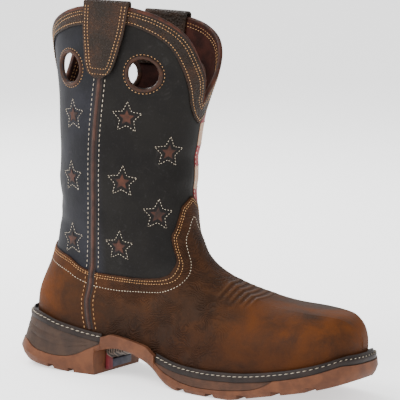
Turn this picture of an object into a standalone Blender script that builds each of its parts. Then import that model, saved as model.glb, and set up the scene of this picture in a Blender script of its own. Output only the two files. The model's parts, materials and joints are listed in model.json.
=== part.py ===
"""Western work boot, right foot: a pull-on boot with a gum rubber outsole and a tall leather shaft.

Frame: +X towards the toe, +Y towards the medial side, +Z up, origin on the floor in the middle
of the outsole. Along the boot, a station is a share of the outsole's length from the back of the
heel, and a reach is a share of the feather line, where the leather meets the welt. A turn is an
angle round the leather, from the toe or the front of the shaft over the lateral side.
"""

import math
from bisect import bisect_right
from collections import namedtuple

import bmesh
import bpy
from mathutils import Matrix, Vector

# Driving sizes, in metres. A reach, station or share is part of the length or height that it names.
OUTSOLE_LENGTH = 0.308
BALL_WIDTH = 0.114
LEATHER_HEIGHT = 0.290
SHAFT_WIDTH = 0.098
HEEL_LEDGE_HEIGHT = 0.043
SHAFT_WALL = 0.0018
FOOT_LAYER = 0.0011
COLLAR_LAYER = 0.0011
SHAFT_SINK = 0.0008
WELT_THICKNESS = 0.004
WELT_BEAD_HEIGHT = 0.0026
INSOLE_THICKNESS = 0.003
INSOLE_ROOM = 0.0036
ARCH_LIP_START, ARCH_LIP_HEIGHT = 0.0006, 0.0040
LIP_RAMP = 0.032
NOTCH_DEPTH = 0.0032
NOTCH_LENGTH = 0.0095
NOTCH_REACH = 0.013
BALL_NOTCH_STATION, NOTCH_PITCH, BALL_NOTCHES = 0.552, 0.028, 5
HEEL_NOTCH_STATION, HEEL_NOTCH_PITCH, HEEL_NOTCHES = 0.137, 0.0195, 2
ARCH_PLATE_WIDTH = 0.048
ARCH_PLATE_DEPTH = 0.0085
ARCH_RIB_DEPTH = 0.0018
ARCH_RIBS = 7
ARCH_PLATE_END = 0.445
HOLE_DIAMETER = 0.024
HOLE_BINDING_WIDTH = 0.0034
HOLE_BINDING_HEIGHT = 0.0014
FRONT_HOLE_REACH = 0.387
BACK_HOLE_REACH = 0.149
MEDIAL_COLLAR = 0.82
SEAM_CORD_WIDTH = 0.0046
SEAM_CORD_HEIGHT = 0.0018
STRAP_TURN = 93
STRAP_WIDTH = 0.0395
STRAP_THICKNESS = 0.0022
STRAP_OUTER_DROP = 0.057
STRAP_INNER_DROP = 0.040
INSERT_PROUD = 0.003
INSERT_START = -0.020
RED_INSERT_WIDTH = 0.007
RED_INSERT_BOTTOM, RED_INSERT_TOP = 0.0025, 0.0160
NAVY_INSERT_WIDTH = 0.028
NAVY_INSERT_BOTTOM, NAVY_INSERT_TOP = 0.0035, 0.0100

# Clearances between pieces, in metres
GAP = 0.0003
SOFT_GAP = 0.0005

# Insets of each layer from the outsole's widest outline, at the heel and at the ball
Inset = namedtuple("Inset", "heel ball")
TREAD_INSET = Inset(0.0045, 0.0035)
BULGE_INSET = Inset(0.0, 0.0)
GUM_RIM_INSET = Inset(0.0020, 0.0008)
PANEL_FOOT_INSET = Inset(0.0028, 0.0014)
SEAT_INSET = Inset(0.0040, 0.0024)
PANEL_HEAD_INSET = Inset(0.0072, 0.0024)
WELT_INSET = Inset(0.0068, 0.0016)
FEATHER_INSET = Inset(0.0130, 0.0085)
PLUG_INSET = Inset(0.0200, 0.0150)
LEATHER_ROOM = 0.0028
LIP_INSET = Inset(FEATHER_INSET.heel - LEATHER_ROOM, FEATHER_INSET.ball - LEATHER_ROOM)
INSET_BLEND_STATION = 0.5
END_STATION = 0.18

# Outsole outline: half widths as shares of half the ball width
Outline = namedtuple("Outline", "station lateral medial")
OUTLINE = (
    Outline(0.00, 0.680, 0.68),
    Outline(0.15, 0.695, 0.69),
    Outline(0.28, 0.660, 0.61),
    Outline(0.40, 0.700, 0.60),
    Outline(0.52, 0.870, 0.74),
    Outline(0.63, 0.985, 0.90),
    Outline(0.72, 1.000, 1.00),
    Outline(0.82, 0.965, 0.98),
    Outline(0.92, 0.930, 0.87),
    Outline(1.00, 0.920, 0.66),
)
HEEL_ROUND = 0.135
HEEL_EXPONENT = 2.25
TOE_ROUND = 0.20
TOE_EXPONENT = 2.6

# Height of the welt's ledge along the boot, as a share of its height at the back of the heel
Ledge = namedtuple("Ledge", "station height")
LEDGE = (
    Ledge(0.00, 1.000),
    Ledge(0.07, 0.935),
    Ledge(0.12, 0.850),
    Ledge(0.17, 0.790),
    Ledge(0.24, 0.725),
    Ledge(0.30, 0.700),
    Ledge(0.37, 0.640),
    Ledge(0.45, 0.530),
    Ledge(0.50, 0.455),
    Ledge(0.55, 0.415),
    Ledge(0.62, 0.405),
    Ledge(0.71, 0.430),
    Ledge(0.78, 0.485),
    Ledge(0.83, 0.545),
    Ledge(0.88, 0.615),
    Ledge(0.94, 0.725),
    Ledge(1.00, 0.880),
)

# Underside of the outsole along the boot: heel, breast, arch, tread and toe spring, in the same share
BREAST_STATION = 0.268
BREAST_TOP_STATION = 0.2695
Tread = namedtuple("Tread", "station height")
TREAD = (
    Tread(0.000, 0.210),
    Tread(0.030, 0.120),
    Tread(0.080, 0.075),
    Tread(0.130, 0.040),
    Tread(0.180, 0.008),
    Tread(0.205, 0.000),
    Tread(BREAST_STATION, 0.000),
    Tread(BREAST_TOP_STATION, 0.440),
    Tread(0.290, 0.490),
    Tread(0.330, 0.545),
    Tread(0.370, 0.520),
    Tread(0.405, 0.440),
    Tread(0.430, 0.375),
    Tread(0.455, 0.275),
    Tread(0.475, 0.165),
    Tread(0.500, 0.065),
    Tread(0.535, 0.000),
    Tread(0.690, 0.000),
    Tread(0.720, 0.035),
    Tread(0.750, 0.080),
    Tread(0.800, 0.155),
    Tread(0.850, 0.225),
    Tread(0.900, 0.300),
    Tread(0.950, 0.395),
    Tread(1.000, 0.520),
)

# Top of the gum below the dark panels, as a share of the way from the floor to the welt's underside
Gum = namedtuple("Gum", "station height")
HEEL_GUM = (
    Gum(0.000, 0.530),
    Gum(0.050, 0.510),
    Gum(0.077, 0.420),
    Gum(0.100, 0.380),
    Gum(0.140, 0.365),
    Gum(0.180, 0.400),
    Gum(0.215, 0.515),
    Gum(0.250, 0.740),
    Gum(0.285, 0.960),
)
BALL_GUM = (
    Gum(0.459, 0.960),
    Gum(0.484, 0.800),
    Gum(0.520, 0.660),
    Gum(0.553, 0.535),
    Gum(0.600, 0.460),
    Gum(0.655, 0.475),
    Gum(0.710, 0.550),
    Gum(0.760, 0.640),
    Gum(0.787, 0.760),
    Gum(0.805, 0.880),
    Gum(0.814, 0.950),
)
STEP_STATION = 0.0015
END_GAP = GAP / OUTSOLE_LENGTH
HEEL_END = HEEL_GUM[-1].station
ARCH_START = HEEL_END + STEP_STATION
BALL_START = BALL_GUM[0].station
ARCH_END = BALL_START - STEP_STATION
PANEL_END = BALL_GUM[-1].station
TOE_START = PANEL_END + STEP_STATION

# Rings of the leather, from the feather line to the collar: where each meets the front and the back
# of the side view, as a reach and as a share of the leather's height
Ring = namedtuple("Ring", "place front_reach front_height back_reach back_height sag")
RINGS = (
    Ring(0, 1.000, 0.131, 0.000, 0.148, 1.00),
    Ring(1, 1.002, 0.161, -0.001, 0.163, 0.85),
    Ring(2, 0.994, 0.195, 0.000, 0.179, 0.70),
    Ring(3, 0.976, 0.221, 0.002, 0.197, 0.55),
    Ring(4, 0.941, 0.238, 0.006, 0.214, 0.42),
    Ring(5, 0.864, 0.247, 0.013, 0.234, 0.30),
    Ring(6, 0.774, 0.2515, 0.023, 0.259, 0.20),
    Ring(7, 0.690, 0.2655, 0.034, 0.286, 0.12),
    Ring(8, 0.612, 0.287, 0.043, 0.317, 0.06),
    Ring(9, 0.546, 0.316, 0.052, 0.352, 0.02),
    Ring(10, 0.503, 0.355, 0.057, 0.390, 0.00),
    Ring(11, 0.481, 0.405, 0.061, 0.434, 0.00),
    Ring(12, 0.470, 0.462, 0.060, 0.483, 0.00),
    Ring(13, 0.463, 0.524, 0.059, 0.534, 0.00),
    Ring(14, 0.467, 0.593, 0.059, 0.593, 0.00),
    Ring(15, 0.475, 0.669, 0.054, 0.669, 0.00),
    Ring(16, 0.489, 0.745, 0.050, 0.745, 0.00),
    Ring(17, 0.517, 0.828, 0.038, 0.828, 0.00),
    Ring(18, 0.534, 0.910, 0.025, 0.910, 0.00),
    Ring(19, 0.547, 1.025, 0.013, 1.025, 0.00),
)

# The top of the foot carried on through the shaft, so that the foot's cross sections have a crown there
Crown = namedtuple("Crown", "front_reach front_height")
SHAFT_CROWN = (
    Crown(0.430, 0.490),
    Crown(0.360, 0.600),
    Crown(0.270, 0.720),
    Crown(0.000, 1.200),
)
LAST_FOOT_RING = 11

# Half width of the heel and shaft by height, as a share of half the shaft's width
Girth = namedtuple("Girth", "height half_width")
GIRTH = (
    Girth(0.145, 0.700),
    Girth(0.200, 0.715),
    Girth(0.310, 0.740),
    Girth(0.380, 0.790),
    Girth(0.480, 0.870),
    Girth(0.580, 0.925),
    Girth(0.690, 0.955),
    Girth(0.830, 0.985),
    Girth(1.000, 1.000),
)
GIRTH_START, GIRTH_RISE = 0.155, 0.26
ROUNDING_START, ROUNDING_RISE = 0.20, 0.25
INSTEP_REACH = 0.56
SHAFT_EXPONENT = 2.0
BALL_EXPONENT, TOE_BOX_EXPONENT = 1.92, 2.3
TOE_BOX_START, TOE_BOX_RISE = 0.60, 0.30
CROWN_SHIFT = 0.001
SIDE_BULGE = 0.0022

# The slanted line from the instep to the arch, where the shaft's sections hand over to the foot's
HANDOVER_REACH, HANDOVER_HEIGHT = 0.321, 0.207
HANDOVER_SLANT, HANDOVER_WIDTH = 0.76, 0.262

# Edges round the leather by turn in degrees: the top of the foot leather, the lower edge of the collar
# band and the topline, as shares of the leather's height
Edge = namedtuple("Edge", "turn foot band top")
EDGES = (
    Edge(0, 0.500, 0.697, 0.756),
    Edge(9, 0.487, 0.716, 0.822),
    Edge(17, 0.472, 0.750, 0.858),
    Edge(22, 0.445, 0.780, 0.880),
    Edge(29, 0.414, 0.818, 0.913),
    Edge(36, 0.386, 0.855, 0.940),
    Edge(42, 0.338, 0.886, 0.957),
    Edge(50, 0.313, 0.917, 0.975),
    Edge(63, 0.291, 0.946, 0.996),
    Edge(77, 0.280, 0.962, 1.008),
    Edge(93, 0.278, 0.962, 1.010),
    Edge(110, 0.280, 0.952, 1.000),
    Edge(118, 0.287, 0.945, 0.992),
    Edge(130, 0.314, 0.929, 0.975),
    Edge(145, 0.325, 0.905, 0.946),
    Edge(161, 0.333, 0.845, 0.895),
    Edge(172, 0.341, 0.765, 0.825),
    Edge(180, 0.345, 0.725, 0.785),
)

# Side seam: reach of the cord by height
Seam = namedtuple("Seam", "height reach")
SIDE_SEAM = (
    Seam(0.126, 0.218),
    Seam(0.161, 0.210),
    Seam(0.195, 0.207),
    Seam(0.246, 0.218),
    Seam(0.340, 0.228),
    Seam(0.490, 0.239),
    Seam(0.638, 0.243),
    Seam(0.830, 0.262),
    Seam(1.030, 0.281),
)

# Half width of the pull strap's outer leg by its drop from the topline, both as shares
Strap = namedtuple("Strap", "drop half_width")
STRAP_TAPER = (
    Strap(0.00, 1.00),
    Strap(0.30, 0.95),
    Strap(0.60, 0.80),
    Strap(0.80, 0.67),
    Strap(0.92, 0.52),
    Strap(0.98, 0.32),
    Strap(1.00, 0.14),
)

SIDES = {"lateral": -1, "medial": 1}

# Heights of the pull holes' centres, as shares of the leather's height: lower on the medial side
HOLE_HEIGHTS = {"lateral": 0.8328, "medial": 0.8000}

# Columns round the leather, rows of faces up its foot, shaft and collar band, and the run of a layer's step
AROUND = 48
FOOT_ROWS = 11
SHAFT_ROWS = 7
BAND_ROWS = 3
STEP_RUN = 0.0012


class Curve:
    """A smooth curve through one column of a table, read at a value of its key column."""

    def __init__(self, rows, key, column):
        pairs = sorted((getattr(row, key), getattr(row, column)) for row in rows)
        self.at = [pair[0] for pair in pairs]
        self.values = [pair[1] for pair in pairs]
        steps = list(zip(self.at, self.at[1:], self.values, self.values[1:]))
        rises = [(v1 - v0) / (a1 - a0) for a0, a1, v0, v1 in steps]
        inner = [0.0 if r0 * r1 <= 0 else 2 * r0 * r1 / (r0 + r1) for r0, r1 in zip(rises, rises[1:])]
        self.slopes = [rises[0], *inner, rises[-1]]

    def __call__(self, at):
        at = min(max(at, self.at[0]), self.at[-1])
        i = min(bisect_right(self.at, at), len(self.at) - 1) - 1
        step = self.at[i + 1] - self.at[i]
        t = (at - self.at[i]) / step
        v0, v1 = self.values[i], self.values[i + 1]
        bend0 = self.slopes[i] * step
        bend1 = self.slopes[i + 1] * step
        return lerp(v0, v1, t * t * (3 - 2 * t)) + bend0 * t * (1 - t) ** 2 - bend1 * t * t * (1 - t)


def lerp(low, high, share):
    return low + (high - low) * share


def clamp(value, low=0.0, high=1.0):
    return min(max(value, low), high)


def smoothstep(value):
    value = clamp(value)
    return value * value * (3 - 2 * value)


def superellipse(share, exponent):
    """Height of a superellipse of unit size at a share of its half length."""
    return (1 - clamp(share) ** exponent) ** (1 / exponent)


lateral_share = Curve(OUTLINE, "station", "lateral")
medial_share = Curve(OUTLINE, "station", "medial")
ledge_share = Curve(LEDGE, "station", "height")
tread_share = Curve(TREAD, "station", "height")
heel_gum_share = Curve(HEEL_GUM, "station", "height")
ball_gum_share = Curve(BALL_GUM, "station", "height")
front_reach = Curve(RINGS, "place", "front_reach")
front_height = Curve(RINGS, "place", "front_height")
back_reach = Curve(RINGS, "place", "back_reach")
back_height = Curve(RINGS, "place", "back_height")
sag_share = Curve(RINGS, "place", "sag")
reach_of_front = Curve(RINGS[1:], "front_height", "front_reach")
reach_of_back = Curve(RINGS, "back_height", "back_reach")
crown_share = Curve(RINGS[1:LAST_FOOT_RING + 1] + SHAFT_CROWN, "front_reach", "front_height")
girth_share = Curve(GIRTH, "height", "half_width")
foot_edge = Curve(EDGES, "turn", "foot")
band_edge = Curve(EDGES, "turn", "band")
top_edge = Curve(EDGES, "turn", "top")
seam_reach = Curve(SIDE_SEAM, "height", "reach")
strap_taper = Curve(STRAP_TAPER, "drop", "half_width")

FEATHER_LENGTH = OUTSOLE_LENGTH - FEATHER_INSET.heel - FEATHER_INSET.ball
TOP_PLACE = RINGS[-1].place


# The sole's outline and heights, by distance from the back of the heel

def inset_at(inset, x):
    return lerp(inset.heel, inset.ball, smoothstep(x / OUTSOLE_LENGTH / INSET_BLEND_STATION))


def station_at(inset, x):
    """Share of an inset outline's own length."""
    return clamp((x - inset.heel) / (OUTSOLE_LENGTH - inset.heel - inset.ball))


def side_half(inset, x, side):
    """Half width of an inset outline, without the rounding of heel and toe."""
    station = station_at(inset, x)
    share = lateral_share(station) if side < 0 else medial_share(station)
    return (BALL_WIDTH / 2 - inset_at(inset, x)) * share


def heel_round(station):
    return superellipse(1 - station / HEEL_ROUND, HEEL_EXPONENT)


def toe_round(station):
    return superellipse(1 - (1 - station) / TOE_ROUND, TOE_EXPONENT)


def outline_y(inset, x, side):
    station = station_at(inset, x)
    return side * side_half(inset, x, side) * heel_round(station) * toe_round(station)


def outline_x(inset, station):
    """Place of a station on an inset outline: the same for all of them away from the heel and toe."""
    if station < END_STATION:
        return lerp(inset.heel, END_STATION * OUTSOLE_LENGTH, station / END_STATION)
    if station > 1 - END_STATION:
        toe = OUTSOLE_LENGTH - inset.ball
        return lerp(toe, (1 - END_STATION) * OUTSOLE_LENGTH, (1 - station) / END_STATION)
    return station * OUTSOLE_LENGTH


def to_frame(x):
    return x - OUTSOLE_LENGTH / 2


def ledge_height(x):
    return HEEL_LEDGE_HEIGHT * ledge_share(station_at(FEATHER_INSET, x))


def welt_underside(x):
    return ledge_height(x) - WELT_THICKNESS


def tread_height(x):
    return HEEL_LEDGE_HEIGHT * tread_share(x / OUTSOLE_LENGTH)


def arch_lip(station):
    """How far the gum stands above the ledge beside the arch."""
    rise = smoothstep((station - ARCH_START) / LIP_RAMP) * smoothstep((ARCH_END - station) / LIP_RAMP)
    return lerp(ARCH_LIP_START, ARCH_LIP_HEIGHT, rise)


def gum_rim(x):
    """Top of the gum at the side of the boot."""
    station = x / OUTSOLE_LENGTH
    if station < (HEEL_END + ARCH_START) / 2:
        return welt_underside(x) * heel_gum_share(station)
    if station < (ARCH_END + BALL_START) / 2:
        return ledge_height(x) + arch_lip(station)
    if station < (PANEL_END + TOE_START) / 2:
        return welt_underside(x) * ball_gum_share(station)
    return welt_underside(x) - GAP


def over_arch(x):
    station = x / OUTSOLE_LENGTH
    return (HEEL_END + ARCH_START) / 2 < station < (ARCH_END + BALL_START) / 2


def gum_floor(x):
    """Top of the gum further in, below the midsoles, the leather or the insole."""
    if over_arch(x) or x / OUTSOLE_LENGTH > TOE_START + STEP_STATION / 2:
        return ledge_height(x)
    return gum_rim(x) - GAP


def floor_inset(x):
    """Where the gum steps from its rim to its floor."""
    if over_arch(x):
        return LIP_INSET
    return PLUG_INSET if x / OUTSOLE_LENGTH > (PANEL_END + TOE_START) / 2 else SEAT_INSET


# The leather's surface

def reach_x(reach):
    return FEATHER_INSET.heel + reach * FEATHER_LENGTH


def feather_height(reach):
    """Height of the feather line, as a share of the leather's height."""
    return ledge_height(reach_x(reach)) / LEATHER_HEIGHT


def ring_point(turn, place):
    """Reach and height, in shares, of a ring of the leather at a turn."""
    along = (1 + math.cos(turn)) / 2
    reach = lerp(back_reach(place), front_reach(place), along)
    height = lerp(back_height(place), front_height(place), along)
    ends = lerp(feather_height(0), feather_height(1), reach)
    height += (feather_height(reach) - ends) * sag_share(place)
    if place < 1:
        feather = lerp(feather_height(0), feather_height(1), along)
        first = lerp(RINGS[0].back_height, RINGS[0].front_height, along)
        height += (feather - first) * (1 - place)
    return reach, height


def foot_weight(reach, height):
    """0 on the heel and shaft, 1 on the forefoot."""
    past = (height - HANDOVER_HEIGHT) * HANDOVER_SLANT
    return smoothstep((reach - HANDOVER_REACH - past) / HANDOVER_WIDTH)


def foot_climb(reach, height):
    """0 at the feather line, 1 on the crown of the foot."""
    feather = feather_height(reach)
    crown = max(crown_share(reach), feather + GAP / LEATHER_HEIGHT)
    return clamp((height - feather) / (crown - feather))


def half_width(reach, height, side):
    """Half width of the leather at a point of the side view: the shaft's sections blend into the foot's."""
    sole_half = side_half(FEATHER_INSET, reach_x(reach), side)
    rise = smoothstep((height - GIRTH_START) / GIRTH_RISE)
    back = reach_of_back(height)
    front = reach_of_front(height)
    half_ring = (min(front, INSTEP_REACH) - back) / 2
    rounding = lerp(HEEL_ROUND, half_ring, smoothstep((height - ROUNDING_START) / ROUNDING_RISE))
    shaft_half = lerp(sole_half, SHAFT_WIDTH / 2 * girth_share(height), rise)
    shaft_half *= superellipse(1 - (reach - back) / rounding, lerp(HEEL_EXPONENT, SHAFT_EXPONENT, rise))
    shaft_half *= superellipse(1 - (front - reach) / half_ring, SHAFT_EXPONENT)
    climb = foot_climb(reach, height)
    box = smoothstep((reach - TOE_BOX_START) / TOE_BOX_RISE)
    foot_half = sole_half + SIDE_BULGE * 4 * climb * (1 - climb)
    foot_half *= toe_round(clamp(reach)) * superellipse(climb, lerp(BALL_EXPONENT, TOE_BOX_EXPONENT, box))
    return lerp(shaft_half, foot_half, foot_weight(reach, height))


def leather_at(reach, height, side):
    """Point of the shaft's face in the side view's shares; side 0 is on the crown."""
    centre = CROWN_SHIFT * foot_weight(reach, height) * foot_climb(reach, height)
    half = side * half_width(reach, height, side) if side else 0.0
    return Vector((to_frame(reach_x(reach)), centre + half, height * LEATHER_HEIGHT))


def leather(turn, place):
    """Point of the shaft's face at a turn and a ring."""
    turn %= math.tau
    side = 0 if abs(math.sin(turn)) < 1e-6 else (-1 if turn < math.pi else 1)
    return leather_at(*ring_point(turn, place), side)


def outward(turn, place):
    """Direction out of the leather."""
    step = 0.02
    across = leather(turn + step, place) - leather(turn - step, place)
    up = leather(turn, min(place + step, TOP_PLACE)) - leather(turn, max(place - step, 0))
    return up.cross(across).normalized()


def outward_at(reach, height, side):
    """Direction out of the leather, from the side view's shares."""
    step = 0.004
    along = leather_at(reach + step, height, side) - leather_at(reach - step, height, side)
    up = leather_at(reach, height + step, side) - leather_at(reach, height - step, side)
    return along.cross(up).normalized() * -side


def turn_degrees(turn):
    """Turn from the front, the same on both sides."""
    turn = math.degrees(turn % math.tau)
    return min(turn, 360 - turn)


def edge_height(edge, turn):
    """Height of an edge of the leather. On the medial side the collar rises less above its dips."""
    degrees = turn_degrees(turn)
    dips = lerp(edge(0), edge(180), degrees / 180)
    if edge is foot_edge or turn % math.tau <= math.pi:
        return edge(degrees)
    return lerp(dips, edge(degrees), MEDIAL_COLLAR)


def topline(side):
    """Height of the collar at the pull strap."""
    return edge_height(top_edge, math.radians(STRAP_TURN if side < 0 else 360 - STRAP_TURN))


def place_of(turn, height):
    """The ring that reaches a height at a turn."""
    low, high = 0.0, float(TOP_PLACE)
    for _ in range(24):
        middle = (low + high) / 2
        if ring_point(turn, middle)[1] < height:
            low = middle
        else:
            high = middle
    return (low + high) / 2


# Collections, materials and mesh helpers

def clear_scene():
    for obj in list(bpy.data.objects):
        bpy.data.objects.remove(obj, do_unlink=True)


def new_collection(name):
    collection = bpy.data.collections.new(name)
    bpy.context.scene.collection.children.link(collection)
    return collection


def new_material(name, colour, roughness):
    material = bpy.data.materials.new(name)
    material.use_nodes = True
    shader = material.node_tree.nodes["Principled BSDF"]
    shader.inputs["Base Color"].default_value = (*colour, 1)
    shader.inputs["Roughness"].default_value = roughness
    shader.inputs["Metallic"].default_value = 0.0
    material.diffuse_color = (*colour, 1)
    return material


def new_object(name, bm, collection, material=None):
    """Turns a bmesh into an object of this collection, with its faces pointing out."""
    bmesh.ops.recalc_face_normals(bm, faces=bm.faces)
    mesh = bpy.data.meshes.new(name)
    bm.to_mesh(mesh)
    bm.free()
    mesh.shade_smooth()
    mesh.set_sharp_from_angle(angle=math.radians(35))
    obj = bpy.data.objects.new(name, mesh)
    collection.objects.link(obj)
    if material:
        mesh.materials.append(material)
    return obj


def add_cut(obj, cutter):
    cutter.hide_render = True
    cutter.display_type = "WIRE"
    cut = obj.modifiers.new("Cut " + cutter.name, "BOOLEAN")
    cut.operation = "DIFFERENCE"
    cut.solver = "EXACT"
    cut.object = cutter


def bridge(bm, lower, upper, closed):
    """Faces between two rows of vertices."""
    last = len(lower) if closed else len(lower) - 1
    for i in range(last):
        j = (i + 1) % len(lower)
        bm.faces.new((lower[i], lower[j], upper[j], upper[i]))


def grid(bm, rows, closed):
    """Faces over rows of points, closed round each row if asked. Gives back the rows of vertices."""
    made = [[bm.verts.new(point) for point in row] for row in rows]
    for lower, upper in zip(made, made[1:]):
        bridge(bm, lower, upper, closed)
    return made


def spaced_stations(start, stop, count, extra=()):
    """Stations between two, closer together at a rounded end of the sole, with the ones that must be kept."""
    heel_end = start == 0.0
    toe_end = stop == 1.0
    stations = []
    for i in range(count + 1):
        share = i / count
        if heel_end and toe_end:
            share = (1 - math.cos(math.pi * share)) / 2
        elif heel_end:
            share = 1 - math.cos(math.pi * share / 2)
        elif toe_end:
            share = math.sin(math.pi * share / 2)
        stations.append(lerp(start, stop, share))
    near = 0.4 * (stop - start) / count
    kept = [station for station in extra if start < station < stop]
    stations = [station for station in stations if all(abs(station - other) > near for other in kept)]
    return sorted({*stations, *kept, start, stop})


def sole_layer(name, levels, stations, collection, material):
    """A solid of stacked outlines. Each level is an inset and a height, both functions of the distance."""
    bm = bmesh.new()
    rings = []
    for inset_here, height in levels:
        ring = {side: [] for side in SIDES.values()}
        for station in stations:
            inset = inset_here(station * OUTSOLE_LENGTH)
            x = outline_x(inset, station)
            for side, row in ring.items():
                row.append(bm.verts.new((to_frame(x), outline_y(inset, x, side), height(x))))
        rings.append(ring.values())
    for (lateral0, medial0), (lateral1, medial1) in zip(rings, rings[1:]):
        bridge(bm, lateral0 + medial0[::-1], lateral1 + medial1[::-1], True)
    for lateral, medial in (rings[0], rings[-1]):
        bridge(bm, lateral, medial, False)
    bmesh.ops.remove_doubles(bm, verts=bm.verts, dist=1e-6)
    bmesh.ops.dissolve_degenerate(bm, edges=bm.edges, dist=1e-7)
    return new_object(name, bm, collection, material)


def constant(inset):
    return lambda x: inset


# The pieces of the bottom

def make_notches(collection):
    """The cutter of the notches along the tread's edge, on both sides: wider at the floor than above."""
    ball = [BALL_NOTCH_STATION + i * NOTCH_PITCH / OUTSOLE_LENGTH for i in range(BALL_NOTCHES)]
    heel = [HEEL_NOTCH_STATION + i * HEEL_NOTCH_PITCH / OUTSOLE_LENGTH for i in range(HEEL_NOTCHES)]
    bm = bmesh.new()
    for side in SIDES.values():
        for station in ball + heel:
            x = outline_x(TREAD_INSET, station)
            edge = outline_y(TREAD_INSET, x, side)
            half_length = NOTCH_LENGTH / 2 * (1.0 if station in ball else 0.7)
            for vertex in bmesh.ops.create_cube(bm, size=2.0)["verts"]:
                is_top = vertex.co.z > 0
                vertex.co.x = to_frame(x) + vertex.co.x * half_length * (0.72 if is_top else 1.25)
                vertex.co.y = edge + vertex.co.y * NOTCH_REACH
                vertex.co.z = tread_height(x) + NOTCH_DEPTH if is_top else -NOTCH_REACH
    return new_object("notch_cutters", bm, collection)


def make_outsole(parts, cutters, material):
    kept = [row.station for row in TREAD + HEEL_GUM + BALL_GUM]
    kept += [ARCH_START, ARCH_END, TOE_START, TOE_START + STEP_STATION, *plate_stations()]
    kept += [ARCH_START + LIP_RAMP * i / 4 for i in range(1, 5)]
    kept += [ARCH_END - LIP_RAMP * i / 4 for i in range(1, 5)]

    def bulge_height(x):
        return lerp(tread_height(x), gum_rim(x), 0.55)

    levels = (
        (constant(TREAD_INSET), tread_height),
        (constant(BULGE_INSET), bulge_height),
        (constant(GUM_RIM_INSET), gum_rim),
        (floor_inset, gum_rim),
        (floor_inset, gum_floor),
    )
    outsole = sole_layer("outsole", levels, spaced_stations(0.0, 1.0, 44, kept), parts, material)
    add_cut(outsole, make_notches(cutters))


def make_midsole(name, start, stop, count, gum, parts, material):
    def foot(x):
        return gum_rim(x) + GAP

    def head(x):
        return welt_underside(x) - GAP

    levels = (
        (constant(PANEL_FOOT_INSET), foot),
        (constant(PANEL_HEAD_INSET), head),
        (constant(PLUG_INSET), head),
        (constant(PLUG_INSET), ledge_height),
    )
    kept = [row.station for row in gum]
    sole_layer(name, levels, spaced_stations(start, stop, count, kept), parts, material)


def welt_section(station, side):
    """Across the welt, from the outer edge in: ledge, bead and the flat below the leather."""
    strip = (
        (0.00, -WELT_THICKNESS), (0.00, 0.0), (0.50, 0.0), (0.62, 0.75 * WELT_BEAD_HEIGHT),
        (0.80, WELT_BEAD_HEIGHT), (0.95, 0.7 * WELT_BEAD_HEIGHT), (1.00, 0.0),
    )
    inner = Inset(PLUG_INSET.heel - GAP, PLUG_INSET.ball - GAP)
    across = [(Inset(*(lerp(a, b, share) for a, b in zip(WELT_INSET, LIP_INSET))), rise)
              for share, rise in strip]
    across += [(inner, 0.0), (inner, -WELT_THICKNESS)]
    points = []
    for inset, rise in across:
        x = outline_x(inset, station)
        points.append(Vector((to_frame(x), outline_y(inset, x, side), ledge_height(x) + rise)))
    return points


def make_welt(name, start, stop, count, parts, material):
    """A strip round the heel or the toe, one section after another from side to side."""
    stations = spaced_stations(start, stop, count)
    if start == 0.0:
        stations = stations[::-1]
    path = [(station, -1) for station in stations] + [(station, 1) for station in stations[-2::-1]]
    bm = bmesh.new()
    made = grid(bm, [welt_section(station, side) for station, side in path], True)
    bm.faces.new(made[0])
    bm.faces.new(made[-1][::-1])
    new_object(name, bm, parts, material)


def plate_stations():
    """Stations of the arch plate, four to a rib, from the heel's inserts on."""
    start = BREAST_TOP_STATION + (INSERT_PROUD + 3 * GAP) / OUTSOLE_LENGTH
    return [lerp(start, ARCH_PLATE_END, i / (4 * ARCH_RIBS)) for i in range(4 * ARCH_RIBS + 1)]


def make_arch_plate(parts, material):
    """The ribbed plate that hangs below the arch, deepest near the heel."""
    stations = plate_stations()
    start, stop = stations[0], stations[-1]
    bm = bmesh.new()
    rows = []
    for i, station in enumerate(stations):
        x = station * OUTSOLE_LENGTH
        top = tread_height(x) - GAP
        depth = ARCH_PLATE_DEPTH * (1 - 0.75 * smoothstep((station - start) / (stop - start)))
        if i % 4 in (1, 2):
            depth -= ARCH_RIB_DEPTH * depth / ARCH_PLATE_DEPTH
        half = ARCH_PLATE_WIDTH / 2
        rows.append([
            (to_frame(x), y, z) for y, z in (
                (-half, top), (-half, top - 0.55 * depth), (-0.7 * half, top - depth),
                (0.7 * half, top - depth), (half, top - 0.55 * depth), (half, top))
        ])
    made = grid(bm, rows, True)
    bm.faces.new(made[0])
    bm.faces.new(made[-1][::-1])
    new_object("arch_plate", bm, parts, material)


def make_insert(name, start, width, bottom, top, parts, material):
    """A block on the front face of the heel, from one side towards the medial side."""
    breast = to_frame(BREAST_TOP_STATION * OUTSOLE_LENGTH) + GAP
    bm = bmesh.new()
    size = (INSERT_PROUD, width, top - bottom)
    centre = (breast + INSERT_PROUD / 2, start + width / 2, (bottom + top) / 2)
    bmesh.ops.create_cube(bm, size=1.0, matrix=Matrix.LocRotScale(Vector(centre), None, Vector(size)))
    bmesh.ops.bevel(bm, geom=bm.edges, offset=0.0006, segments=2, profile=0.5, affect="EDGES", material=-1)
    new_object(name, bm, parts, material)


def make_insole(parts, material):
    room = SHAFT_WALL + INSOLE_ROOM
    inset = Inset(FEATHER_INSET.heel + room, FEATHER_INSET.ball + room)
    levels = (
        (constant(inset), lambda x: ledge_height(x) + GAP),
        (constant(inset), lambda x: ledge_height(x) + GAP + INSOLE_THICKNESS),
    )
    sole_layer("insole", levels, spaced_stations(0.0, 1.0, 36), parts, material)


# The pieces of the upper

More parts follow.
